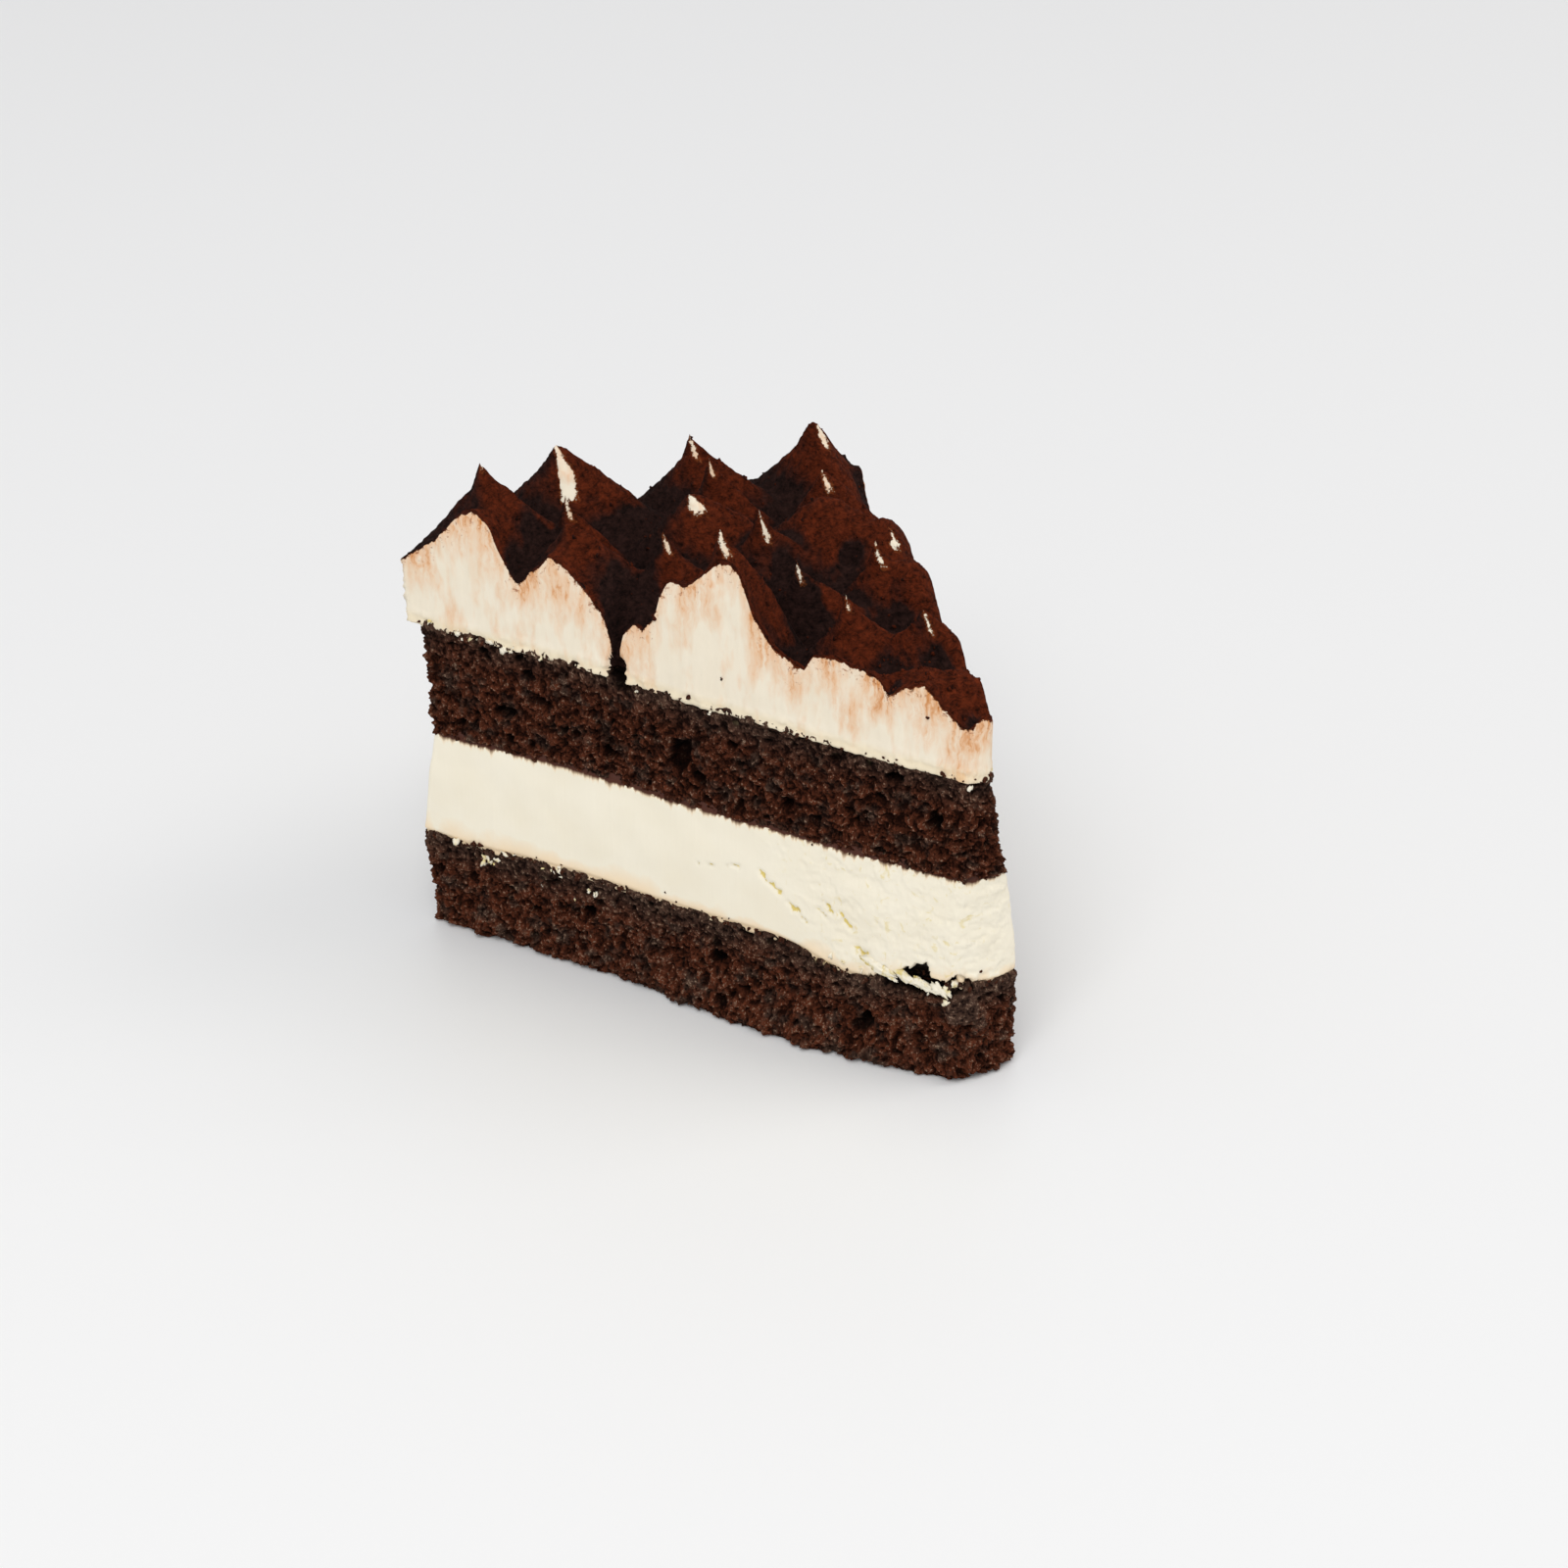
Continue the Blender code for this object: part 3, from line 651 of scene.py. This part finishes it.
def topping_top(x, y):
    """Height of the pulled cream: the highest peak over each point, with soft creases between peaks."""
    heights = [upper_joint(x, y) + VALLEY_OVER_JOINT]
    heights += [peak_surface(x, y, peak) for peak in PEAKS]
    highest = np.max(heights, axis=0)
    field = highest + BLEND * np.log(sum(np.exp((height - highest) / BLEND) for height in heights))
    for pit_x, pit_y, radius, depth in PITS:
        field = field - depth * np.exp(-((x - pit_x) ** 2 + (y - pit_y) ** 2) / radius**2)
    edge_x, edge_z = zip(*reversed(FRONT_EDGE))
    edge = np.mean([np.interp(x + step, edge_x, edge_z) for step in EDGE_STEPS], axis=0)
    field = field + (edge - field) * np.exp(-((y / FRONT_EDGE_DEPTH) ** 2))
    along_x, edge_z = zip(*reversed(BACK_EDGE))
    along = x * math.cos(SLICE_ANGLE) + y * math.sin(SLICE_ANGLE)
    depth = x * math.sin(SLICE_ANGLE) - y * math.cos(SLICE_ANGLE)
    edge = np.mean([np.interp(along + step, along_x, edge_z) for step in BACK_EDGE_STEPS], axis=0)
    return field + (edge - field) * np.exp(-((depth / BACK_EDGE_DEPTH) ** 2))


def topping_body():
    """A closed sheet one unit square: cells over its top, rows down its sides, and its underside fanned from
    a middle point.
    """
    body = bmesh.new()
    bmesh.ops.create_grid(body, x_segments=ACROSS_CELLS, y_segments=OUTWARD_CELLS, size=0.5)
    bmesh.ops.translate(body, verts=body.verts, vec=(0.5, 0.5, 1.0))
    border = [edge for edge in body.edges if edge.is_boundary]
    lowered = bmesh.ops.extrude_edge_only(body, edges=border)
    low = [item for item in lowered["geom"] if isinstance(item, bmesh.types.BMVert)]
    bmesh.ops.translate(body, verts=low, vec=(0.0, 0.0, -1.0))
    base = bmesh.ops.contextual_create(body, geom=[edge for edge in body.edges if edge.is_boundary])["faces"]
    bmesh.ops.poke(body, faces=base)
    uprights = [edge for edge in body.edges if abs(edge.verts[0].co.z - edge.verts[1].co.z) > 0.5]
    bmesh.ops.subdivide_edges(body, edges=uprights, cuts=WALL_ROWS - 1, use_grid_fill=True)
    return body


body = topping_body()
unit = np.array([vert.co for vert in body.verts])
across, outward, level = unit.T
on_top = level > 0.999
side = np.minimum(np.minimum(across, 1.0 - across), np.minimum(outward, 1.0 - outward))
on_wall = side < 1e-5
height = np.full_like(level, 62.0)
for _ in range(2):
    x, y = plan(across, outward, height, TOPPING_OVERHANG)
    for peak in PEAKS:
        # The cells are drawn together so that one corner lies under the tip.
        away = np.hypot(x - peak[0] - peak[6] * PULL[0], y - peak[1] - peak[6] * PULL[1])
        nearest = np.argmin(np.where(on_top & ~on_wall, away, 1e3))
        pinch = np.where(on_wall, 0.0, np.exp(-((away / PINCH) ** 2)))
        x = x + (peak[0] + peak[6] * PULL[0] - x[nearest]) * pinch
        y = y + (peak[1] + peak[6] * PULL[1] - y[nearest]) * pinch
    roof = topping_top(x, y)
    floor = upper_joint(x, y) - TUCK
    height = floor + (roof - floor) * level
places = np.stack([x, y, height], axis=1)
ragged = unevenness(places * (1.0, 1.0, 0.0), 1.1, 3)
below = np.where(on_wall, roof - height, 0.0)
above = height - upper_joint(x, y)
front = on_wall & (across < 1e-5)
flank = on_wall & (across > 1.0 - 1e-5)
rim = on_wall & (outward > 1.0 - 1e-5)
tip = on_wall & (outward < 1e-5)
out = np.zeros_like(places)
out[front, 1] = -1.0
out[flank] += (-math.sin(SLICE_ANGLE), math.cos(SLICE_ANGLE), 0.0)
out[rim, 0] += np.cos(SLICE_ANGLE * across[rim])
out[rim, 1] += np.sin(SLICE_ANGLE * across[rim])
out[tip] += (-0.8, -0.5, 0.0)
out /= np.maximum(np.linalg.norm(out, axis=1), 1e-6)[:, None]
streaks = unevenness(places * (1.0, 1.0, 0.08), 1.1, 3)
relief = 0.2 * unevenness(places, 7.0, 2) + 0.12 * streaks
relief = relief + np.where(rim, 0.8 * np.abs(unevenness(places + 80.0, 3.5, 4)), 0.0)
hole = (np.abs(x - NOTCH_X) + 0.5 * y) / 1.7 + 0.35 * unevenness(places + 55.0, 1.5, 3)
hole = np.exp(-((hole**2 + ((height - NOTCH_HEIGHT) / 2.4) ** 2) ** 2))
relief = relief - NOTCH_DEPTH * hole
curled = np.abs(unevenness(places + 15.0, 2.2, 3)) * (1.0 - smooth(above, 0.6, 2.2))
relief = relief - 0.3 * SET_BACK * (1.0 - smooth(above, -0.3, 0.6))
relief = relief - 0.25 * (1.0 - smooth(below, 0.0, 0.5)) + 0.5 * curled
places = places + out * relief[:, None]
powder = 0.28 * unevenness(places, 1.1, 3) + 0.4 * unevenness(places + 5.0, 3.5, 2)
places[:, 2] += np.where(on_top, powder, 0.3 * ragged * np.clip(level * 3.0 - 2.0, 0.0, 1.0))
bare = np.full_like(x, -2.0)
for tip_x, tip_y, tip_z, slope, spike_height, rounding, lean, bare_length, bare_width in PEAKS:
    foot_x = x - tip_x - lean * PULL[0]
    foot_y = y - tip_y - lean * PULL[1]
    if bare_length:
        drop = tip_z - roof
        sideways = np.abs(foot_x * PULL[0] + foot_y * PULL[1] - BARE_DRIFT * drop)
        forward = foot_x * FORWARD[0] + foot_y * FORWARD[1]
        width = 0.5 * bare_width * (0.3 + 0.7 * smooth(drop / bare_length, 0.0, 0.6))
        reach = bare_length / slope + 0.8 - forward
        within = [width - sideways, 0.6 * (bare_length - drop), forward + 0.2, reach]
        bare = np.maximum(bare, np.minimum.reduce(within))
    if lean:
        leaning = np.where(on_top, lean * np.exp(-((foot_x**2 + foot_y**2) / (LEAN_REACH * lean) ** 2)), 0.0)
        inside = np.clip(y / 3.0, 0.0, 1.0)
        places[:, 0] -= leaning * PULL[0] * inside
        places[:, 1] -= leaning * PULL[1] * inside
# Creases, low parts and pits are marked so that the cocoa there is painted nearly black: painted shade, and
# partly moist cocoa.
around = []
for far in ROUND_ABOUT:
    turns = np.arange(0, 6.2, 0.9)
    ring = [topping_top(x + far * math.cos(turn), y + far * math.sin(turn)) for turn in turns]
    around.append(np.mean(ring, axis=0))
low = 1.0 - smooth(roof - SHADE_AND_DAMP_BELOW - SHADE_AND_DAMP_SLOPE * x, -2.0, 6.0)
hollow = 0.4 * smooth(0.5 * (around[1] + around[2]) - roof, -2.5, 3.0)
hollow = hollow + 0.5 * smooth(around[0] - roof, 0.0, 1.2) + 0.45 * low
# Painted shade: each pit darkens the cocoa round it.
for pit_x, pit_y, radius, _ in PITS:
    reach = radius * (1.0 + 0.5 * unevenness(places + 33.0, 4.0, 3))
    hollow = hollow + 0.8 * np.exp(-((x - pit_x) ** 2 + (y - pit_y) ** 2) / reach**2)
# In the notch the cut takes the cocoa colour and counts as a crease, so it is painted dark as shade.
marks = {
    "above": above,
    "below": np.where(on_wall, below, INSIDE_CUT),
    "bare": np.where(on_wall & ~on_top, below + 0.25 * ragged - LIP - 30.0 * smooth(hole, 0.3, 0.5), bare),
    "hollow": hollow + hole,
}
topping = piece_of("cream_topping_peaks", body, places, marks)


def dusted_cream():
    """Whipped cream, satin where the knife bared it, under sieved cocoa that takes nearly all the light."""
    material = bpy.data.materials.new("sieved_cocoa_on_whipped_cream")
    material.use_nodes = True
    tree = material.node_tree
    shader = tree.nodes["Principled BSDF"]
    shader.inputs["Specular IOR Level"].default_value = 0.06
    where = add_node(tree, "TexCoord", {}).outputs["Object"]
    above, below, bare, hollow = (
        add_node(tree, "Attribute", {}, attribute_name=mark).outputs["Fac"]
        for mark in ("above", "below", "bare", "hollow")
    )
    facing = add_node(tree, "NewGeometry", {}).outputs["Normal"]
    # Cocoa lies in felted tufts of 0.3 by 0.8 mm, drawn as coarse as they show. It is painted lighter and
    # redder on the peaks and, as painted light, on the sides that face the lamp on the right; it is lighter
    # towards the tip.
    # In the creases, pits and low parts it is painted nearly black: painted shade, and cocoa gone moist
    # there.
    bent = add_node(tree, "TexNoise", {"Vector": where, "Scale": 350.0, "Detail": 2.0})
    bent = add_node(tree, "VectorMath", {0: bent.outputs["Color"], "Scale": 0.0022}, operation="SCALE")
    bent = add_node(tree, "VectorMath", {0: where, 1: bent}, operation="ADD")
    felt = add_node(tree, "Mapping", {"Vector": bent, "Scale": (0.42, 0.42, 1.0)})
    tuft = add_node(tree, "TexNoise", {"Vector": felt, "Scale": 2900.0, "Detail": 4.0, "Roughness": 0.78})
    drift = add_node(tree, "TexNoise", {"Vector": where, "Scale": 200.0, "Detail": 5.0})
    # Painted light: sides that face the lamp on the right are painted lighter and redder.
    facing_light = add_node(tree, "VectorMath", {0: facing, 1: (0.85, 0.25, 0.2)}, operation="DOT_PRODUCT")
    side = add_node(tree, "VectorMath", {0: where, 1: (10.0, 5.0, 0.0)}, operation="DOT_PRODUCT")
    dry_and_lit = add_node(tree, "Math", {0: facing_light.outputs["Value"], 1: side.outputs["Value"]}, operation="ADD")
    dry_and_lit = add_node(tree, "Math", {0: drift, 1: 1.1, 2: dry_and_lit}, operation="MULTIPLY_ADD")
    # Painted shade: the crease, pit and low-part marks push the cocoa towards its darkest colours, partly
    # moist cocoa too.
    dry_and_lit = add_node(tree, "Math", {0: hollow, 1: -2.6, 2: dry_and_lit}, operation="MULTIPLY_ADD")
    dry_and_lit = add_node(tree, "MapRange", {"Value": dry_and_lit, "From Min": -0.75, "From Max": 0.3})
    clump = add_node(tree, "TexNoise", {"Vector": where, "Scale": 800.0, "Detail": 3.0})
    fleck = add_node(tree, "Math", {0: clump, 1: 0.7, 2: tuft}, operation="MULTIPLY_ADD")
    fleck = add_node(tree, "MapRange", {"Value": fleck, "From Min": 0.62, "From Max": 1.08})
    # Lighter, redder colours for the painted light; the darker ones below for the painted shade.
    loose_and_lit = add_node(tree, "Mix", {0: fleck, 6: linear("#200b05"), 7: linear("#6b2c16")}, data_type="RGBA")
    damp_and_shaded = add_node(tree, "Mix", {0: fleck, 6: linear("#0e0706"), 7: linear("#35211d")}, data_type="RGBA")
    powder = add_node(tree, "Mix", {0: dry_and_lit, 6: damp_and_shaded, 7: loose_and_lit}, data_type="RGBA")
    # Smears of cocoa run down from the top of a cut, up to 14 mm long: a wash in some columns, finer strokes
    # in it, and specks of 0.9 mm near the top.
    strokes = add_node(tree, "Mapping", {"Vector": bent, "Scale": (1.0, 1.0, 0.12)})
    stroke = add_node(
        tree, "TexNoise", {"Vector": strokes, "Scale": 800.0, "Detail": 4.0, "Roughness": 0.7}
    )
    column = add_node(tree, "Mapping", {"Vector": where, "Scale": (1.0, 1.0, 0.4)})
    column = add_node(tree, "TexNoise", {"Vector": column, "Scale": 210.0, "Detail": 3.0, "Roughness": 0.6})
    speck = add_node(tree, "TexNoise", {"Vector": bent, "Scale": 1100.0, "Detail": 4.0, "Roughness": 0.75})
    cream = add_node(tree, "Mix", {0: drift, 6: linear("#eadfc9"), 7: linear("#f1e8d6")}, data_type="RGBA")
    fade = add_node(tree, "MapRange", {"Value": below, "From Max": 14.0, "To Min": 0.16, "To Max": -0.14})
    wash = add_node(tree, "Math", {0: column, 1: fade}, operation="ADD")
    wash = add_node(tree, "MapRange", {"Value": wash, "From Min": 0.38, "From Max": 0.68})
    strong = add_node(tree, "Math", {0: stroke, 1: 2.0, 2: -0.5}, operation="MULTIPLY_ADD")
    strong = add_node(tree, "Math", {0: wash, 1: strong}, operation="MULTIPLY")
    cream = add_node(
        tree, "Mix", {0: strong, 6: cream, 7: linear("#e0923a")}, data_type="RGBA", clamp_factor=True
    )
    smear = add_node(tree, "MapRange", {"Value": strong, "From Min": 0.5, "From Max": 1.15, "To Max": 0.8})
    cream = add_node(tree, "Mix", {0: smear, 6: cream, 7: linear("#a5561a")}, data_type="RGBA")
    specks = add_node(tree, "Math", {0: fade, 1: 1.5, 2: speck}, operation="MULTIPLY_ADD")
    specks = add_node(
        tree, "MapRange", {"Value": specks, "From Min": 0.75, "From Max": 0.85, "To Max": 0.75}
    )
    cream = add_node(tree, "Mix", {0: specks, 6: cream, 7: linear("#8f4a20")}, data_type="RGBA")
    tint = add_node(tree, "MapRange", {"Value": above, "From Max": 1.4, "To Min": 0.25, "To Max": 0.0})
    cream = add_node(tree, "Mix", {0: tint, 6: cream, 7: linear("#f0d8a0")}, data_type="RGBA")
    # The coat ends raggedly, in a rusty rim 0.4 mm wide where it is thinnest.
    frayed = add_node(
        tree, "MapRange", {"Value": speck, "From Min": 0.3, "From Max": 0.7, "To Min": 0.3, "To Max": -0.4}
    )
    over = add_node(tree, "Math", {0: frayed, 1: bare}, operation="ADD")
    thin = add_node(tree, "MapRange", {"Value": over, "From Min": -0.25, "From Max": 0.1})
    powder = add_node(tree, "Mix", {0: thin, 6: powder, 7: linear("#8a4a24")}, data_type="RGBA")
    cover = add_node(tree, "MapRange", {"Value": over, "From Min": 0.12, "From Max": 0.02})
    colour = add_node(tree, "Mix", {0: cover, 6: cream, 7: powder}, data_type="RGBA")
    tree.links.new(colour.outputs[2], shader.inputs["Base Color"])
    rough = add_node(tree, "MapRange", {"Value": cover, "To Min": 0.5, "To Max": 0.95})
    tree.links.new(rough.outputs[0], shader.inputs["Roughness"])
    relief = add_node(tree, "Math", {0: tuft, 1: cover}, operation="MULTIPLY")
    relief = add_node(tree, "Math", {0: stroke, 1: 0.12, 2: relief}, operation="MULTIPLY_ADD")
    bump = add_node(tree, "Bump", {"Strength": 0.9, "Distance": 0.0006, "Height": relief})
    tree.links.new(bump.outputs[0], shader.inputs["Normal"])
    return material


topping.data.materials.append(dusted_cream())
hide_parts("cream_topping")
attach(topping, "root")

# ------------------------------------------------------------------------------------------------------------
# Sponge crumbs. Loose crumb of the cocoa sponge, dragged out by the knife: it clings to the cuts at the
# joints and round the foot, and stays soft and dark.

CRUMB_COUNT = 650
CRUMB_SIZES = (0.2, 0.7)  # radius of the finest and the coarsest
COARSENESS = 3.0  # how much rarer coarse ones are
FAR_OUT = 20.0  # a lump's path to the slice starts this far outside it
rolling = random.Random(11)
single = bpy.data.meshes.new("single_lump")
skins = []
for piece in (lower_sponge, filling, upper_sponge, topping):
    corners = [vert.co for vert in piece.data.vertices]
    skins.append(BVHTree.FromPolygons(corners, [face.vertices for face in piece.data.polygons]))


def touched(start, heading):
    """Where a straight path into the slice meets its outside."""
    part_start = Vector((CENTRE_X - start[0], FRONT_Y + start[1], start[2])) * MM
    part_heading = Vector((-heading[0], heading[1], heading[2]))
    hits = [skin.ray_cast(part_start, part_heading) for skin in skins]
    place, _, _, _ = min((hit for hit in hits if hit[0]), key=lambda hit: hit[3])
    return np.array((CENTRE_X - place.x / MM, place.y / MM - FRONT_Y, place.z / MM))


def from_side(share, height):
    """A start and heading that reach the slice's side, at a share of the way round and a height."""
    share = np.array([share])
    start = np.array(outline(share, np.array([height])))[:, 0]
    out = outward_of(share, np.array([height]))[0]
    return (*(start + FAR_OUT * out[:2]), height), tuple(-out)


def lump(body, place, size, squash, uneven):
    """Adds a small lump of a few dozen faces, pressed flat one way, turned and dented at random."""
    one = bmesh.new()
    bmesh.ops.create_uvsphere(one, u_segments=7, v_segments=5, radius=1.0)
    turn = Euler([rolling.uniform(0.0, 2.0 * math.pi) for _ in range(3)]).to_matrix()
    chance = Vector([rolling.uniform(-50.0, 50.0) for _ in range(3)])
    for vert in one.verts:
        dent = 1.0 + uneven * noise.noise(vert.co * 1.3 + chance)
        flat = Vector((vert.co.x, vert.co.y * squash, vert.co.z)) * dent
        vert.co = Vector(place) + turn @ flat * size
    one.to_mesh(single)
    one.free()
    body.from_mesh(single)


def lumps_of(name, body, marks):
    """The finished piece of scattered lumps, with one value per mark for them all."""
    places = np.array([vert.co for vert in body.verts])
    return piece_of(name, body, places, {mark: np.full(len(places), value) for mark, value in marks.items()})


body = bmesh.new()
for _ in range(CRUMB_COUNT):
    share = rolling.random()
    x, y = np.array(outline(np.array([share]), np.array([20.0])))[:, 0]
    # A third lie at the foot, most of the others at the lower joint, and the rest along the two joints above.
    chance = rolling.random()
    if chance < 0.35:
        height = rolling.uniform(0.2, 2.5)
    elif chance < 0.75:
        height = lower_joint(x, y) - 1.0 + rolling.expovariate(1.8)
    elif chance < 0.87:
        height = middle_joint(x, y) + 0.6 - rolling.expovariate(2.5)
    else:
        height = upper_joint(x, y) - 1.4 + rolling.expovariate(2.2)
    place = touched(*from_side(share, height))
    size = CRUMB_SIZES[0] + (CRUMB_SIZES[1] - CRUMB_SIZES[0]) * rolling.random() ** COARSENESS
    place[2] = max(place[2], 1.4 * size)  # none reaches below the floor
    lump(body, place, size, rolling.uniform(0.6, 0.9), 0.9)
marks = {"hollow": 0.1, "grain": 0.5, "proud": 0.5, "soak": 0.3, "lodged": 0.0}
crumbs = lumps_of("sponge_crumbs", body, marks)
crumbs.data.materials.append(sponge)
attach(crumbs, "root")

# ------------------------------------------------------------------------------------------------------------
# Cream scraps. Torn tongues of the filling, left on the lower sponge beside the gap, and dabs of cream that
# the knife pressed into the sponges' pores. They are as firm and white as the cream that they tore from.

# Distance toward the rim, height and radius of each dab on the front cut
DABS = (
    (109.3, 16.7, 0.9), (106.8, 16.6, 0.8), (108.0, 16.2, 0.6), (94.9, 18.1, 0.7), (93.6, 17.4, 0.4),
    (87.9, 16.1, 0.7), (86.8, 15.6, 0.5), (97.5, 14.6, 0.3), (118.4, 61.9, 0.7), (112.6, 61.3, 0.6),
    (105.9, 61.1, 0.8), (102.0, 60.2, 0.6), (90.5, 14.0, 0.3), (77.0, 59.0, 0.4), (63.0, 58.6, 0.5),
    (24.0, 17.0, 0.5), (21.3, 15.9, 0.5), (19.6, 16.6, 0.4), (18.2, 15.2, 0.6), (40.0, 18.0, 0.6),
    (37.5, 17.6, 0.5), (34.0, 17.0, 0.6),
)
# Where each torn tongue starts, where it ends, and its half width at the start
TONGUES = (
    (33.5, 19.3, 27.6, 17.3, 0.9), (27.6, 18.5, 23.6, 16.8, 0.75), (24.8, 18.0, 20.4, 16.5, 0.8),
    (21.0, 18.1, 18.2, 16.1, 0.7), (18.8, 17.9, 17.4, 16.4, 0.6), (29.5, 17.4, 27.4, 16.4, 0.4),
)
BEFORE_CUT = 30.0  # a path to the front cut starts this far in front of it
SCRAPS_PER_DAB = 3
DAB_COUNT = 70  # further dabs, by chance, along the joints of the other sides
body = bmesh.new()
for from_x, from_z, to_x, to_z, width in TONGUES:
    tongue = bmesh.new()
    bmesh.ops.create_uvsphere(tongue, u_segments=28, v_segments=16, radius=1.0)
    length = math.hypot(to_x - from_x, to_z - from_z)
    run_x, run_z = (to_x - from_x) / length, (to_z - from_z) / length
    surface = touched((0.5 * (from_x + to_x), -BEFORE_CUT, 0.5 * (from_z + to_z)), (0.0, 1.0, 0.0))
    middle_y = min(surface[1], 0.2)  # the tongues bridge the gap rather than lie in it
    for vert in tongue.verts:
        torn_off = 1.0 + 0.6 * noise.fractal(vert.co * 1.6 + Vector((from_x, 0.0, 0.0)), 0.7, 2.0, 4)
        along = 0.5 * length * vert.co.x * torn_off
        aside = width * vert.co.z * torn_off * (1.0 - 0.5 * vert.co.x)
        vert.co = (
            0.5 * (from_x + to_x) + run_x * along - run_z * aside,
            middle_y + 0.6 * width * vert.co.y * torn_off,
            0.5 * (from_z + to_z) + run_z * along + run_x * aside,
        )
    tongue.to_mesh(single)
    tongue.free()
    body.from_mesh(single)
for dab_x, dab_z, size in DABS:
    for _ in range(SCRAPS_PER_DAB):
        aside, up = rolling.gauss(0.0, 0.5 * size), rolling.gauss(0.0, 0.35 * size)
        place = touched((dab_x + aside, -BEFORE_CUT, dab_z + up), (0.0, 1.0, 0.0))
        lump(body, place, size * rolling.uniform(0.4, 0.9), rolling.uniform(0.25, 0.6), 1.1)
for _ in range(DAB_COUNT):
    share = rolling.uniform(0.3, 1.0)
    x, y = np.array(outline(np.array([share]), np.array([20.0])))[:, 0]
    height = rolling.choice((lower_joint(x, y), upper_joint(x, y))) - rolling.expovariate(0.9)
    place = touched(*from_side(share, height))
    lump(body, place, rolling.uniform(0.25, 0.8), rolling.uniform(0.3, 0.7), 1.1)
scraps = lumps_of("cream_scraps", body, {"above": 9.0, "below": 9.0, "torn": 0.5, "butter": 0.5, "gap": 0.0})
scraps.data.materials.append(filling.data.materials[0])
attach(scraps, "root")

# ------------------------------------------------------------------------------------------------------------
# Cocoa clumps. Cocoa that the sieve let through in small lumps: they lie on the powder of the topping, and a
# few hang on the cut below its edge.

CLUMP_COUNT = 420
CLUMP_SIZES = (0.16, 0.5)
OVER_TOPPING = 120.0
# Distance toward the rim, height and radius of each clump on the front cut
HANGING = ((74.2, 74.8, 0.9), (73.4, 74.0, 0.6), (75.2, 74.2, 0.5), (22.9, 68.6, 0.35), (60.7, 65.6, 0.3))
body = bmesh.new()
for _ in range(CLUMP_COUNT):
    x, y = plan(rolling.uniform(0.02, 0.98), rolling.uniform(0.03, 0.98), 70.0)
    place = touched((float(x), float(y), OVER_TOPPING), (0.0, 0.0, -1.0))
    size = CLUMP_SIZES[0] + (CLUMP_SIZES[1] - CLUMP_SIZES[0]) * rolling.random() ** COARSENESS
    lump(body, place, size, 0.8, 0.8)
for clump_x, clump_z, size in HANGING:
    place = touched((clump_x, -BEFORE_CUT, clump_z), (0.0, 1.0, 0.0))
    lump(body, place, size, 0.6, 1.0)
bpy.data.meshes.remove(single)
clumps = lumps_of("cocoa_clumps", body, {"above": 20.0, "below": 0.0, "bare": -2.0, "hollow": 0.3})
clumps.data.materials.append(topping.data.materials[0])
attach(clumps, "root")

# ------------------------------------------------------------------------------------------------------------
# Floor, light and camera. A plain pale table, a large soft lamp from behind on the right, a broad fill from
# the front, and a bright even room. Sizes here are in metres.

FLOOR_SIZE = 6.0
FLOOR_DROP = 0.0002  # keeps the table clear of the slice's flat base
MIDDLE = Vector((0.0, 0.0, 0.04))
CAMERA_PLACE = (0.2439, -0.457, 0.329)
CAMERA_DOWN = math.radians(30.5)  # how far the camera looks down, and how far it is turned
CAMERA_TURN = math.radians(28.43)
ground = bmesh.new()
bmesh.ops.create_grid(ground, x_segments=1, y_segments=1, size=FLOOR_SIZE / 2)
floor_data = bpy.data.meshes.new("pale_table")
ground.to_mesh(floor_data)
ground.free()
pale_table = bpy.data.objects.new("pale_table", floor_data)
bpy.context.scene.collection.objects.link(pale_table)
pale_table.location.z = -FLOOR_DROP
lacquer = bpy.data.materials.new("pale_lacquer_smooth")
lacquer.use_nodes = True
lacquer_shader = lacquer.node_tree.nodes["Principled BSDF"]
lacquer_shader.inputs["Base Color"].default_value = linear("#f0f1f2")
lacquer_shader.inputs["Roughness"].default_value = 0.4
floor_data.materials.append(lacquer)

world = bpy.data.worlds.new("bright_room")
bpy.context.scene.world = world
world.use_nodes = True
room = world.node_tree.nodes["Background"]
room.inputs["Color"].default_value = linear("#fcfcfd")
room.inputs["Strength"].default_value = 0.6


def soft_lamp(name, place, size, power, colour):
    """A square soft box at a place in metres, aimed at the slice."""
    lamp = bpy.data.lights.new(name, "AREA")
    lamp.size = size
    lamp.energy = power
    lamp.color = linear(colour)[:3]
    holder = bpy.data.objects.new(name, lamp)
    bpy.context.scene.collection.objects.link(holder)
    holder.location = place
    holder.rotation_euler = (MIDDLE - Vector(place)).to_track_quat("-Z", "Y").to_euler()


soft_lamp("window", (1.8, 1.2, 2.2), 1.6, 20.0, "#fffaf4")
soft_lamp("fill", (0.4, -1.5, 1.9), 1.4, 27.0, "#fffefc")

camera = bpy.data.cameras.new("camera")
camera.sensor_width = 36.0
camera.lens = 76.6
camera.clip_start = 0.01
viewer = bpy.data.objects.new("camera", camera)
bpy.context.scene.collection.objects.link(viewer)
viewer.location = CAMERA_PLACE
viewer.rotation_euler = (math.radians(90.0) - CAMERA_DOWN, 0.0, CAMERA_TURN)
bpy.context.scene.camera = viewer
bpy.context.scene.view_settings.view_transform = "Standard"
